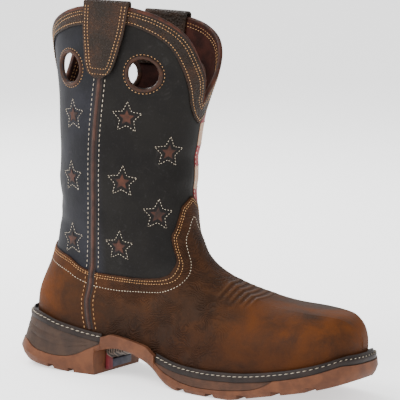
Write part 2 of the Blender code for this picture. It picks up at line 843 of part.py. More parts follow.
def upper_rows(turn):
    """Places and layers of the upper's outer face at a turn, from the feather line to the topline."""
    foot_top = edge_height(foot_edge, turn)
    band_bottom = edge_height(band_edge, turn)
    foot = place_of(turn, foot_top)
    above_foot = place_of(turn, foot_top + STEP_RUN / LEATHER_HEIGHT)
    below_band = place_of(turn, band_bottom - STEP_RUN / LEATHER_HEIGHT)
    band = place_of(turn, band_bottom)
    top = place_of(turn, edge_height(top_edge, turn))
    rows = [(lerp(0.0, foot, i / FOOT_ROWS), FOOT_LAYER) for i in range(FOOT_ROWS + 1)]
    rows += [(lerp(above_foot, below_band, i / SHAFT_ROWS), 0.0) for i in range(SHAFT_ROWS + 1)]
    rows += [(lerp(band, top, i / BAND_ROWS), COLLAR_LAYER) for i in range(BAND_ROWS + 1)]
    return rows


def make_hole_cutters(collection):
    bm = bmesh.new()
    for name, side in SIDES.items():
        height = HOLE_HEIGHTS[name]
        for reach in (FRONT_HOLE_REACH, BACK_HOLE_REACH):
            centre = leather_at(reach, height, side)
            axis = outward_at(reach, height, side)
            turned = axis.to_track_quat("Z", "Y").to_matrix().to_4x4()
            bmesh.ops.create_cone(
                bm, cap_ends=True, segments=28, radius1=HOLE_DIAMETER / 2, radius2=HOLE_DIAMETER / 2,
                depth=HOLE_DIAMETER, matrix=Matrix.Translation(centre) @ turned)
    return new_object("hole_cutters", bm, collection)


def make_upper(parts, cutters, material):
    """One hollow tube. The foot leather and the collar band are steps in its outer face."""
    bm = bmesh.new()
    columns = []
    layers = []
    for i in range(AROUND):
        turn = math.tau * i / AROUND
        rows = upper_rows(turn)
        layers = [layer for _, layer in rows]
        columns.append([leather(turn, place) + outward(turn, place) * (layer - SHAFT_SINK)
                        for place, layer in rows])
    for column in columns:
        foot = column[0]
        foot.z = ledge_height(foot.x + OUTSOLE_LENGTH / 2) + SOFT_GAP
    rows = [list(row) for row in zip(*columns)]
    grid(bm, rows, True)
    upper = new_object("upper", bm, parts, material)
    thickest = SHAFT_WALL + max(FOOT_LAYER, COLLAR_LAYER)
    group = upper.vertex_groups.new(name="wall")
    for i, layer in enumerate(layers):
        group.add(range(i * AROUND, (i + 1) * AROUND), (SHAFT_WALL + layer) / thickest, "REPLACE")
    wall = upper.modifiers.new("Wall", "SOLIDIFY")
    wall.thickness = thickest
    wall.offset = -1
    wall.vertex_group = group.name
    add_cut(upper, make_hole_cutters(cutters))


def make_hole_binding(name, reach, height, side, parts, material):
    """A raised ring round a pull hole, laid on the shaft."""
    inner = HOLE_DIAMETER / 2 + GAP
    outer = inner + HOLE_BINDING_WIDTH
    section = (
        (inner, 0.0), (inner, 0.8 * HOLE_BINDING_HEIGHT), (lerp(inner, outer, 0.5), HOLE_BINDING_HEIGHT),
        (outer, 0.5 * HOLE_BINDING_HEIGHT), (outer, 0.0),
    )
    segments = 24
    rows = []
    for i in range(segments):
        angle = math.tau * i / segments
        row = []
        for radius, rise in section:
            at_reach = reach + radius * math.cos(angle) / FEATHER_LENGTH
            at_height = height + radius * math.sin(angle) / LEATHER_HEIGHT
            out = outward_at(at_reach, at_height, side)
            row.append(leather_at(at_reach, at_height, side) + out * (SOFT_GAP + rise - SHAFT_SINK))
        rows.append(row)
    bm = bmesh.new()
    made = grid(bm, rows, True)
    bridge(bm, made[-1], made[0], True)
    new_object(name, bm, parts, material)


def layer_under(reach, height, side):
    """How far the foot leather lifts a piece that crosses its edge."""
    along = clamp(2 * (reach - reach_of_back(height)) / (reach_of_front(height) - reach_of_back(height)) - 1, -1, 1)
    edge = foot_edge(math.degrees(math.acos(along)))
    return FOOT_LAYER * (1 - smoothstep((height - edge) * LEATHER_HEIGHT / 0.003 - 0.5))


def make_side_seam(name, side, parts, material):
    """The cord over the side seam, from the welt up to the pull strap."""
    start = feather_height(seam_reach(0.14)) + (WELT_BEAD_HEIGHT + 2 * SOFT_GAP) / LEATHER_HEIGHT
    stop = topline(side) - (STRAP_OUTER_DROP + 4 * SOFT_GAP) / LEATHER_HEIGHT
    count = 25
    section = ((-1.0, 0.0), (-0.75, 0.7), (0.0, 1.0), (0.75, 0.7), (1.0, 0.0))
    rows = []
    for i in range(count + 1):
        height = lerp(start, stop, i / count)
        row = []
        for across, rise in section:
            reach = seam_reach(height) + across * SEAM_CORD_WIDTH / 2 / FEATHER_LENGTH
            lift = SOFT_GAP - SHAFT_SINK + layer_under(reach, height, side) + rise * SEAM_CORD_HEIGHT
            row.append(leather_at(reach, height, side) + outward_at(reach, height, side) * lift)
        rows.append(row)
    bm = bmesh.new()
    made = grid(bm, rows, True)
    bm.faces.new(made[0])
    bm.faces.new(made[-1][::-1])
    new_object(name, bm, parts, material)


def strap_path():
    """The strap from the tip of its outer leg, over the topline, to the end of its inner leg.

    Each step is a drop below the topline, a lift out of the leather and a rise above the topline."""
    out_lift = COLLAR_LAYER - SHAFT_SINK + SOFT_GAP
    in_lift = -SHAFT_SINK - SHAFT_WALL - SOFT_GAP
    radius = (out_lift - in_lift) / 2
    path = [(STRAP_OUTER_DROP * row, out_lift, 0.0) for row in (1.0, 0.98, 0.92, 0.8, 0.6, 0.3, 0.12, 0.0)]
    for i in range(1, 6):
        angle = math.pi * i / 6
        path.append((0.0, (out_lift + in_lift) / 2 + radius * math.cos(angle), radius * math.sin(angle)))
    path += [(STRAP_INNER_DROP * share, in_lift, 0.0) for share in (0.0, 0.25, 0.5, 0.75, 1.0)]
    return path


def make_pull_strap(name, side, parts, material):
    top = topline(side) + SOFT_GAP / LEATHER_HEIGHT
    columns = 5
    rows = []
    for drop, lift, rise in strap_path():
        height = top - drop / LEATHER_HEIGHT
        outer_leg = lift > 0
        half = STRAP_WIDTH / 2 * (strap_taper(drop / STRAP_OUTER_DROP) if outer_leg else 1.0)
        row = []
        for i in range(columns):
            across = lerp(-half, half, i / (columns - 1))
            reach = seam_reach(height) + across / FEATHER_LENGTH
            row.append(leather_at(reach, height, side) + outward_at(reach, height, side) * lift
                       + Vector((0, 0, rise)))
        rows.append(row)
    bm = bmesh.new()
    grid(bm, rows, False)
    strap = new_object(name, bm, parts, material)
    faces_out = strap.data.polygons[0].normal.y * side > 0
    if not faces_out:
        strap.data.flip_normals()
    wall = strap.modifiers.new("Thickness", "SOLIDIFY")
    wall.thickness = STRAP_THICKNESS
    wall.offset = 1


def build():
    clear_scene()
    parts = new_collection("western_work_boot")
    cutters = new_collection("cutters")
    gum = new_material("gum_rubber", (0.33, 0.13, 0.06), 0.6)
    panel = new_material("dark_rubber", (0.095, 0.065, 0.05), 0.65)
    welt = new_material("welt_rubber", (0.035, 0.026, 0.022), 0.5)
    plate = new_material("arch_nylon", (0.13, 0.105, 0.085), 0.5)
    red = new_material("red_rubber", (0.26, 0.028, 0.04), 0.5)
    navy = new_material("navy_rubber", (0.024, 0.03, 0.055), 0.5)
    board = new_material("insole_board", (0.05, 0.04, 0.035), 0.85)
    leather_brown = new_material("oiled_leather", (0.075, 0.033, 0.017), 0.5)
    collar_brown = new_material("collar_leather", (0.055, 0.036, 0.022), 0.55)
    binding = new_material("binding_leather", (0.11, 0.036, 0.016), 0.5)

    make_outsole(parts, cutters, gum)
    make_midsole("midsole_heel", 0.0, HEEL_END - END_GAP, 16, HEEL_GUM, parts, panel)
    make_midsole("midsole_forefoot", BALL_START + END_GAP, PANEL_END - END_GAP, 12, BALL_GUM, parts, panel)
    make_welt("welt_heel", 0.0, HEEL_END - END_GAP, 12, parts, welt)
    make_welt("welt_forefoot", BALL_START + END_GAP, 1.0, 20, parts, welt)
    make_arch_plate(parts, plate)
    make_insert("heel_insert_red", INSERT_START, RED_INSERT_WIDTH, RED_INSERT_BOTTOM, RED_INSERT_TOP,
                parts, red)
    make_insert("heel_insert_navy", INSERT_START + RED_INSERT_WIDTH + GAP, NAVY_INSERT_WIDTH,
                NAVY_INSERT_BOTTOM, NAVY_INSERT_TOP, parts, navy)
    make_insole(parts, board)
    make_upper(parts, cutters, leather_brown)
    for name, side in SIDES.items():
        height = HOLE_HEIGHTS[name]
        make_hole_binding("hole_binding_front_" + name, FRONT_HOLE_REACH, height, side, parts, binding)
        make_hole_binding("hole_binding_back_" + name, BACK_HOLE_REACH, height, side, parts, binding)
        make_side_seam("side_seam_" + name, side, parts, binding)
        make_pull_strap("pull_strap_" + name, side, parts, collar_brown)


build()
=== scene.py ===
import json
import math
from bisect import bisect_right
from collections import namedtuple

import bmesh
import bpy
from mathutils import Matrix, Vector


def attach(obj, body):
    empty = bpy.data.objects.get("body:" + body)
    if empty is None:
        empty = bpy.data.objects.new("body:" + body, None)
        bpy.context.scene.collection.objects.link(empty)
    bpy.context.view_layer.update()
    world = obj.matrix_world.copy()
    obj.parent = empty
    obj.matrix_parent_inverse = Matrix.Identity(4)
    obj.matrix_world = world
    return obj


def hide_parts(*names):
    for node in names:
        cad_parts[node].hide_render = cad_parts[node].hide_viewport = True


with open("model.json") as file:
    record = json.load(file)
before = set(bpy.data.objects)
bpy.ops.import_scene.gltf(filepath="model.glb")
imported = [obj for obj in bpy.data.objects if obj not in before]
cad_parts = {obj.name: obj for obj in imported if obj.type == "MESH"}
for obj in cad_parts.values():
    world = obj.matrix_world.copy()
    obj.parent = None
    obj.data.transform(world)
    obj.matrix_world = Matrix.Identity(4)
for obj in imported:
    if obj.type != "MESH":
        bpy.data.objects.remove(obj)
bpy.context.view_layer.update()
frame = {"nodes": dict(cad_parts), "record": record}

# The boot's frame: +X towards the toe, +Y towards the medial side, origin on the floor. The sizes, tables
# and surface of the leather repeat those of the part's source. Only the foot leather's top edge is drawn
# closer to the photograph here, over a short run at the front.

# Driving sizes, in metres. A reach, station or share is part of the length or height that it names.
OUTSOLE_LENGTH = 0.308
BALL_WIDTH = 0.114
LEATHER_HEIGHT = 0.290
SHAFT_WIDTH = 0.098
HEEL_LEDGE_HEIGHT = 0.043
SHAFT_WALL = 0.0018
FOOT_LAYER = 0.0011
COLLAR_LAYER = 0.0011
SHAFT_SINK = 0.0008
WELT_THICKNESS = 0.004
WELT_BEAD_HEIGHT = 0.0026
ARCH_LIP_START, ARCH_LIP_HEIGHT = 0.0006, 0.0040
LIP_RAMP = 0.032
NOTCH_DEPTH = 0.0032
NOTCH_LENGTH = 0.0095
NOTCH_REACH = 0.013
BALL_NOTCH_STATION, NOTCH_PITCH, BALL_NOTCHES = 0.552, 0.028, 5
HEEL_NOTCH_STATION, HEEL_NOTCH_PITCH, HEEL_NOTCHES = 0.137, 0.0195, 2
NOTCH_TOP_SHARE, NOTCH_FLOOR_SHARE, HEEL_NOTCH_SHARE = 0.72, 1.25, 0.7
HOLE_DIAMETER = 0.024
HOLE_CUT, LINING_HOLE_CUT = HOLE_DIAMETER / 2 + 0.0004, HOLE_DIAMETER / 2 + 0.0020
FRONT_HOLE_REACH = 0.387
BACK_HOLE_REACH = 0.149
MEDIAL_COLLAR = 0.82
SEAM_CORD_HEIGHT = 0.0018
STRAP_TURN = 93
STRAP_WIDTH = 0.0395
STRAP_OUTER_DROP = 0.057
STRAP_INNER_DROP = 0.040
STRAP_THICKNESS = 0.0016

# Lift of each layer's face from the drawn surface of the leather, below which the shaft is sunk a little
FOOT_LIFT = FOOT_LAYER - SHAFT_SINK
BAND_LIFT = COLLAR_LAYER - SHAFT_SINK
LINING_LIFT = -SHAFT_SINK - SHAFT_WALL
STRAP_LIFT = BAND_LIFT + 0.0007
STRAP_INNER_LIFT = LINING_LIFT - 0.0004
STITCH_LIFT = 0.0001

# Clearances between pieces, in metres
GAP = 0.0003
SOFT_GAP = 0.0005

# Insets of each layer from the outsole's widest outline, at the heel and at the ball
Inset = namedtuple("Inset", "heel ball")
TREAD_INSET = Inset(0.0045, 0.0035)
BULGE_INSET = Inset(0.0, 0.0)
GUM_RIM_INSET = Inset(0.0020, 0.0008)
PANEL_FOOT_INSET = Inset(0.0028, 0.0014)
SEAT_INSET = Inset(0.0040, 0.0024)
PANEL_HEAD_INSET = Inset(0.0072, 0.0024)
WELT_INSET = Inset(0.0068, 0.0016)
FEATHER_INSET = Inset(0.0130, 0.0085)
PLUG_INSET = Inset(0.0200, 0.0150)
LEATHER_ROOM = 0.0028
LIP_INSET = Inset(FEATHER_INSET.heel - LEATHER_ROOM, FEATHER_INSET.ball - LEATHER_ROOM)
INSET_BLEND_STATION = 0.5
END_STATION = 0.18

# Outsole outline: half widths as shares of half the ball width
Outline = namedtuple("Outline", "station lateral medial")
OUTLINE = (
    Outline(0.00, 0.680, 0.68),
    Outline(0.15, 0.695, 0.69),
    Outline(0.28, 0.660, 0.61),
    Outline(0.40, 0.700, 0.60),
    Outline(0.52, 0.870, 0.74),
    Outline(0.63, 0.985, 0.90),
    Outline(0.72, 1.000, 1.00),
    Outline(0.82, 0.965, 0.98),
    Outline(0.92, 0.930, 0.87),
    Outline(1.00, 0.920, 0.66),
)
HEEL_ROUND = 0.135
HEEL_EXPONENT = 2.25
TOE_ROUND = 0.20
TOE_EXPONENT = 2.6

# Height of the welt's ledge along the boot, as a share of its height at the back of the heel
Ledge = namedtuple("Ledge", "station height")
LEDGE = (
    Ledge(0.00, 1.000),
    Ledge(0.07, 0.935),
    Ledge(0.12, 0.850),
    Ledge(0.17, 0.790),
    Ledge(0.24, 0.725),
    Ledge(0.30, 0.700),
    Ledge(0.37, 0.640),
    Ledge(0.45, 0.530),
    Ledge(0.50, 0.455),
    Ledge(0.55, 0.415),
    Ledge(0.62, 0.405),
    Ledge(0.71, 0.430),
    Ledge(0.78, 0.485),
    Ledge(0.83, 0.545),
    Ledge(0.88, 0.615),
    Ledge(0.94, 0.725),
    Ledge(1.00, 0.880),
)

# Underside of the outsole along the boot: heel, breast, arch, tread and toe spring, in the same share
BREAST_STATION = 0.268
BREAST_TOP_STATION = 0.2695
Tread = namedtuple("Tread", "station height")
TREAD = (
    Tread(0.000, 0.210),
    Tread(0.030, 0.120),
    Tread(0.080, 0.075),
    Tread(0.130, 0.040),
    Tread(0.180, 0.008),
    Tread(0.205, 0.000),
    Tread(BREAST_STATION, 0.000),
    Tread(BREAST_TOP_STATION, 0.440),
    Tread(0.290, 0.490),
    Tread(0.330, 0.545),
    Tread(0.370, 0.520),
    Tread(0.405, 0.440),
    Tread(0.430, 0.375),
    Tread(0.455, 0.275),
    Tread(0.475, 0.165),
    Tread(0.500, 0.065),
    Tread(0.535, 0.000),
    Tread(0.690, 0.000),
    Tread(0.720, 0.035),
    Tread(0.750, 0.080),
    Tread(0.800, 0.155),
    Tread(0.850, 0.225),
    Tread(0.900, 0.300),
    Tread(0.950, 0.395),
    Tread(1.000, 0.520),
)

# Top of the gum below the dark panels, as a share of the way from the floor to the welt's underside
Gum = namedtuple("Gum", "station height")
HEEL_GUM = (
    Gum(0.000, 0.530),
    Gum(0.050, 0.510),
    Gum(0.077, 0.420),
    Gum(0.100, 0.380),
    Gum(0.140, 0.365),
    Gum(0.180, 0.400),
    Gum(0.215, 0.515),
    Gum(0.250, 0.740),
    Gum(0.285, 0.960),
)
BALL_GUM = (
    Gum(0.459, 0.960),
    Gum(0.484, 0.800),
    Gum(0.520, 0.660),
    Gum(0.553, 0.535),
    Gum(0.600, 0.460),
    Gum(0.655, 0.475),
    Gum(0.710, 0.550),
    Gum(0.760, 0.640),
    Gum(0.787, 0.760),
    Gum(0.805, 0.880),
    Gum(0.814, 0.950),
)
STEP_STATION = 0.0015
END_GAP = GAP / OUTSOLE_LENGTH
HEEL_END = HEEL_GUM[-1].station
ARCH_START = HEEL_END + STEP_STATION
BALL_START = BALL_GUM[0].station
ARCH_END = BALL_START - STEP_STATION
PANEL_END = BALL_GUM[-1].station
TOE_START = PANEL_END + STEP_STATION

# Rings of the leather, from the feather line to the collar: where each meets the front and the back
# of the side view, as a reach and as a share of the leather's height
Ring = namedtuple("Ring", "place front_reach front_height back_reach back_height sag")
RINGS = (
    Ring(0, 1.000, 0.131, 0.000, 0.148, 1.00),
    Ring(1, 1.002, 0.161, -0.001, 0.163, 0.85),
    Ring(2, 0.994, 0.195, 0.000, 0.179, 0.70),
    Ring(3, 0.976, 0.221, 0.002, 0.197, 0.55),
    Ring(4, 0.941, 0.238, 0.006, 0.214, 0.42),
    Ring(5, 0.864, 0.247, 0.013, 0.234, 0.30),
    Ring(6, 0.774, 0.2515, 0.023, 0.259, 0.20),
    Ring(7, 0.690, 0.2655, 0.034, 0.286, 0.12),
    Ring(8, 0.612, 0.287, 0.043, 0.317, 0.06),
    Ring(9, 0.546, 0.316, 0.052, 0.352, 0.02),
    Ring(10, 0.503, 0.355, 0.057, 0.390, 0.00),
    Ring(11, 0.481, 0.405, 0.061, 0.434, 0.00),
    Ring(12, 0.470, 0.462, 0.060, 0.483, 0.00),
    Ring(13, 0.463, 0.524, 0.059, 0.534, 0.00),
    Ring(14, 0.467, 0.593, 0.059, 0.593, 0.00),
    Ring(15, 0.475, 0.669, 0.054, 0.669, 0.00),
    Ring(16, 0.489, 0.745, 0.050, 0.745, 0.00),
    Ring(17, 0.517, 0.828, 0.038, 0.828, 0.00),
    Ring(18, 0.534, 0.910, 0.025, 0.910, 0.00),
    Ring(19, 0.547, 1.025, 0.013, 1.025, 0.00),
)

# The top of the foot carried on through the shaft, so that the foot's cross sections have a crown there
Crown = namedtuple("Crown", "front_reach front_height")
SHAFT_CROWN = (
    Crown(0.430, 0.490),
    Crown(0.360, 0.600),
    Crown(0.270, 0.720),
    Crown(0.000, 1.200),
)
LAST_FOOT_RING = 11

# Half width of the heel and shaft by height, as a share of half the shaft's width
Girth = namedtuple("Girth", "height half_width")
GIRTH = (
    Girth(0.145, 0.700),
    Girth(0.200, 0.715),
    Girth(0.310, 0.740),
    Girth(0.380, 0.790),
    Girth(0.480, 0.870),
    Girth(0.580, 0.925),
    Girth(0.690, 0.955),
    Girth(0.830, 0.985),
    Girth(1.000, 1.000),
)
GIRTH_START, GIRTH_RISE = 0.155, 0.26
ROUNDING_START, ROUNDING_RISE = 0.20, 0.25
INSTEP_REACH = 0.56
SHAFT_EXPONENT = 2.0
BALL_EXPONENT, TOE_BOX_EXPONENT = 1.92, 2.3
TOE_BOX_START, TOE_BOX_RISE = 0.60, 0.30
CROWN_SHIFT = 0.001
SIDE_BULGE = 0.0022

# The slanted line from the instep to the arch, where the shaft's sections hand over to the foot's
HANDOVER_REACH, HANDOVER_HEIGHT = 0.321, 0.207
HANDOVER_SLANT, HANDOVER_WIDTH = 0.76, 0.262

# Edges round the leather by turn in degrees: the top of the foot leather, the lower edge of the collar
# band and the topline, as shares of the leather's height
Edge = namedtuple("Edge", "turn foot band top")
EDGES = (
    Edge(0, 0.500, 0.697, 0.756),
    Edge(9, 0.487, 0.716, 0.822),
    Edge(17, 0.472, 0.750, 0.858),
    Edge(22, 0.445, 0.780, 0.880),
    Edge(29, 0.413, 0.818, 0.913),
    Edge(33.5, 0.399, 0.8425, 0.9305),
    Edge(36, 0.370, 0.855, 0.940),
    Edge(38.5, 0.341, 0.868, 0.947),
    Edge(42, 0.329, 0.886, 0.957),
    Edge(50, 0.313, 0.917, 0.975),
    Edge(63, 0.2935, 0.946, 0.996),
    Edge(77, 0.2832, 0.962, 1.008),
    Edge(93, 0.2790, 0.962, 1.010),
    Edge(110, 0.280, 0.952, 1.000),
    Edge(118, 0.287, 0.945, 0.992),
    Edge(130, 0.314, 0.929, 0.975),
    Edge(145, 0.325, 0.905, 0.946),
    Edge(161, 0.333, 0.845, 0.895),
    Edge(172, 0.341, 0.765, 0.825),
    Edge(180, 0.345, 0.725, 0.785),
)

# Side seam: reach of the cord by height
Seam = namedtuple("Seam", "height reach")
SIDE_SEAM = (
    Seam(0.126, 0.218),
    Seam(0.161, 0.210),
    Seam(0.195, 0.207),
    Seam(0.246, 0.218),
    Seam(0.340, 0.228),
    Seam(0.490, 0.239),
    Seam(0.638, 0.243),
    Seam(0.830, 0.262),
    Seam(1.030, 0.281),
)

# Half width of the pull strap's outer leg by its drop from the topline, both as shares
Strap = namedtuple("Strap", "drop half_width")
STRAP_TAPER = (
    Strap(0.00, 1.00),
    Strap(0.30, 0.95),
    Strap(0.60, 0.80),
    Strap(0.80, 0.67),
    Strap(0.92, 0.52),
    Strap(0.98, 0.32),
    Strap(1.00, 0.14),
)

SIDES = {"lateral": -1, "medial": 1}

# Heights of the pull holes' centres, as shares of the leather's height: lower on the medial side
HOLE_HEIGHTS = {"lateral": 0.8328, "medial": 0.8000}

# The third stitch row of the foot, below its double row: height as a share of the leather's height
Row = namedtuple("Row", "turn height")
THIRD_ROW = (
    Row(0, 0.4460),
    Row(5, 0.4345),
    Row(10, 0.4138),
    Row(16.5, 0.3972),
    Row(21, 0.3766),
    Row(23, 0.3520),
    Row(27, 0.3310),
    Row(38.5, 0.3062),
    Row(49.5, 0.2897),
    Row(61, 0.2731),
    Row(71, 0.2607),
    Row(80.5, 0.2503),
    Row(87.5, 0.2462),
    Row(94, 0.2435),
    Row(108, 0.2390),
    Row(117, 0.2430),
    Row(125, 0.2570),
    Row(133, 0.2760),
    Row(157, 0.2960),
    Row(180, 0.3040),
)

# Shallow grooves along the dark panels: their heights, half height and floor as shares, and their depth
PANEL_GROOVES = (0.42, 0.70)
GROOVE_HALF, GROOVE_FLOOR_HALF, GROOVE_DEPTH = 0.05, 0.025, 0.0006

# Faces across and along each skin of the leather and the piping, and the walls behind the skins
FOOT_FACES, SHAFT_FACES, STRIPE_FACES = (300, 96), (260, 88), (76, 84)
BAND_FACES, LINING_FACES, PIPING_FACES = (260, 14), (160, 90), (10, 260)
LAYER_WALL, SHAFT_SKIN_WALL, STRIPE_WALL = 0.0002, 0.0009, 0.0008

# How far the skins run on below the layers over them, how far they end below the topline, and the ring at
# which the lining starts
SKIN_OVERLAP, STRIPE_OVERLAP, TOP_ROOM = 0.005, 0.004, 0.0006
LINING_START = 0.28

# Toe tip of a skin, where its columns crowd together: from this far forward, this near to the middle and
# this low, with the rounds of smoothing there
TIP_START, TIP_HALF_WIDTH, TIP_TOP, TIP_ROUNDS = 0.130, 0.012, 0.085, 40

# Camera, fitted to the photograph, and lights
CAMERA_AZIMUTH, CAMERA_ELEVATION, CAMERA_ROLL = 29.7, 8.0, 1.8
CAMERA_DISTANCE = 2.3647
CAMERA_FOCUS, FRAME_PIXELS = 3032.1, 400
CAMERA_TARGET = (-0.0005, 0.0, 0.1425)
FLOOR_GLOW = 0.95
WORLD_LIGHT = 1.15
KEY_POWER, FILL_POWER, RIM_POWER = 44.0, 14.0, 26.0

# Side seam: half width of its valleys, and the distance of each stitch row from the cord
SEAM_VALLEY_HALF = 0.0033
SEAM_ROW_REACH = 0.0052

# Stitches: length, pause before the next and width, and their thickness as a share of the width
Stitch = namedtuple("Stitch", "length pause width")
FOOT_STITCH = Stitch(0.0016, 0.0007, 0.00065)
THIRD_STITCH = Stitch(0.0018, 0.0008, 0.00060)
COLLAR_STITCH = Stitch(0.0016, 0.0008, 0.00062)
BAND_STITCH = Stitch(0.0017, 0.0008, 0.00065)
LINING_STITCH = Stitch(0.0020, 0.0010, 0.00070)
LOW_SEAM_STITCH = Stitch(0.0025, 0.0012, 0.00062)
SEAM_STITCH = Stitch(0.0026, 0.0013, 0.00062)
RING_STITCH = Stitch(0.0017, 0.0012, 0.00062)
STRIPE_STITCH = Stitch(0.0022, 0.0012, 0.00075)
STAR_STITCH = Stitch(0.0016, 0.0009, 0.0005)
WELT_STITCH = Stitch(0.0034, 0.0014, 0.00075)
STITCH_FLATNESS = 0.42

# Stitch rows: inset from the edge that they follow, radius round a pull hole, and on the welt the share
# of the way in and the slant
FOOT_ROWS, COLLAR_ROWS, BAND_ROW = (0.0018, 0.0037), (0.0034, 0.0058), -0.0022
LINING_ROWS, STRAP_ROWS = (0.0042, 0.0068), (0.0022, 0.0050)
RING_ROW = 0.0153
WELT_ROW_SHARE, WELT_ROW_SLANT = 0.26, 0.0007
STRIPE_EDGE_ROW = 0.012

# Stars: radius of the points and of the waists, for the painted shadow round the inlay, the inlay and the
# stitched outline
StarSize = namedtuple("StarSize", "radius waist")
STAR_PAINTED_SHADOW = StarSize(0.0076, 0.0034)
STAR_INLAY = StarSize(0.0062, 0.0029)
STAR_OUTLINE = StarSize(0.0126, 0.0060)

# Stars on the shaft: turn in degrees, height of the middle in metres, tilt in degrees
Star = namedtuple("Star", "turn height tilt")
STARS = (
    Star(118.3, 0.2049, 3),
    Star(120.3, 0.1558, 3),
    Star(125.3, 0.1055, 2),
    Star(69.5, 0.2070, -2),
    Star(70.5, 0.1565, -2),
    Star(82.5, 0.1045, -2),
    Star(31.7, 0.1806, -3),
    Star(42.6, 0.1315, -3),
    Star(172.0, 0.1800, 0),
    Star(172.0, 0.1310, 0),
    Star(241.7, 0.1960, -3),
    Star(239.7, 0.1500, -3),
    Star(234.7, 0.1040, -2),
)

# Stripes across the medial front panel, between two turns
STRIPES_START, STRIPES_STOP = math.radians(354), math.radians(269)
STRIPE_HEIGHT = 0.0173
STRIPE_START = 0.07215
STRIPE_SEAMS = [STRIPE_START + (i + 0.5) * STRIPE_HEIGHT for i in range(1, 10)]

# Folds, listed in metres from the back of the heel and from the floor. Push is out of the leather,
# and side is -1 for lateral, 1 for medial and 0 for both.
Fold = namedtuple("Fold", "side x0 z0 x1 z1 width push")
FOLDS = (
    Fold(0, 0.012, 0.142, 0.040, 0.134, 0.0060, -0.0011),
    Fold(0, 0.010, 0.158, 0.034, 0.152, 0.0070, 0.0008),
    Fold(-1, 0.030, 0.122, 0.070, 0.112, 0.0060, -0.0007),
    Fold(-1, 0.095, 0.124, 0.136, 0.133, 0.0080, -0.0007),
    Fold(-1, 0.092, 0.150, 0.140, 0.158, 0.0110, 0.0006),
    Fold(0, 0.132, 0.173, 0.150, 0.176, 0.0060, -0.0010),
    Fold(0, 0.128, 0.153, 0.150, 0.160, 0.0060, 0.0007),
    Fold(0, 0.150, 0.122, 0.166, 0.116, 0.0050, -0.0008),
    Fold(0, 0.150, 0.108, 0.176, 0.100, 0.0050, 0.0006),
    Fold(-1, 0.140, 0.080, 0.172, 0.094, 0.0060, -0.0007),
    Fold(-1, 0.112, 0.064, 0.160, 0.070, 0.0050, -0.0005),
)

# A fold runs on a little past its ends and fades there. Past this many widths it is nothing.
FOLD_END, FOLD_FADE, FOLD_SPREAD = 0.010, 0.012, 3

# Flex ridges across the vamp: where the first starts at its lateral end, from the back of the heel, the
# step from ridge to ridge and their number, the half width that they cover, how far they lean towards the
# toe and bend back, how far up they go, the share over which they fade, and their height
FLEX_START, FLEX_STEP, FLEX_COUNT = 0.1820, 0.0056, 6
FLEX_HALF_SPAN, FLEX_LEAN, FLEX_CURVE = 0.029, 0.009, 0.62
FLEX_TOP, FLEX_FADE, FLEX_PUSH = 0.110, 0.3, 0.0004

# Fine wrinkles of the foot leather and fine ribs of the arch plate: from one line to the next
WRINKLE_STEP = 0.0022
PLATE_RIB_STEP = 0.0022

# Light and dark tone of each plain finish, as they are seen
TONES = {
    "binding_leather": ((64, 30, 16), (36, 18, 11)),
    "cord_leather": ((70, 46, 38), (48, 31, 26)),
    "valley_leather": ((34, 22, 18), (22, 15, 13)),
    "inlay_leather": ((64, 34, 22), (32, 19, 14)),
    "inlay_shadow": ((20, 13, 12), (14, 10, 10)),
    "ring_leather": ((54, 31, 18), (34, 20, 13)),
    "tan_thread": ((186, 146, 102), (140, 98, 60)),
    "cream_thread": ((196, 184, 164), (150, 138, 120)),
    "gum": ((92, 56, 36), (74, 44, 29)),
    "panel_rubber": ((72, 47, 34), (52, 35, 26)),
    "heel_rubber": ((58, 43, 34), (44, 33, 27)),
    "welt_strip": ((36, 27, 23), (22, 16, 14)),
    "red_insert": ((110, 38, 42), (82, 28, 34)),
    "navy_insert": ((76, 74, 86), (50, 50, 60)),
}


class Curve:
    """A smooth curve through one column of a table, read at a value of its key column."""

    def __init__(self, rows, key, column):
        pairs = sorted((getattr(row, key), getattr(row, column)) for row in rows)
        self.at = [pair[0] for pair in pairs]
        self.values = [pair[1] for pair in pairs]
        steps = list(zip(self.at, self.at[1:], self.values, self.values[1:]))
        rises = [(v1 - v0) / (a1 - a0) for a0, a1, v0, v1 in steps]
        inner = [0.0 if r0 * r1 <= 0 else 2 * r0 * r1 / (r0 + r1) for r0, r1 in zip(rises, rises[1:])]
        self.slopes = [rises[0], *inner, rises[-1]]

    def __call__(self, at):
        at = min(max(at, self.at[0]), self.at[-1])
        i = min(bisect_right(self.at, at), len(self.at) - 1) - 1
        step = self.at[i + 1] - self.at[i]
        t = (at - self.at[i]) / step
        v0, v1 = self.values[i], self.values[i + 1]
        bend0 = self.slopes[i] * step
        bend1 = self.slopes[i + 1] * step
        return lerp(v0, v1, t * t * (3 - 2 * t)) + bend0 * t * (1 - t) ** 2 - bend1 * t * t * (1 - t)


def lerp(low, high, share):
    return low + (high - low) * share


def clamp(value, low=0.0, high=1.0):
    return min(max(value, low), high)


def smoothstep(value):
    value = clamp(value)
    return value * value * (3 - 2 * value)


def superellipse(share, exponent):
    """Height of a superellipse of unit size at a share of its half length."""
    return (1 - clamp(share) ** exponent) ** (1 / exponent)


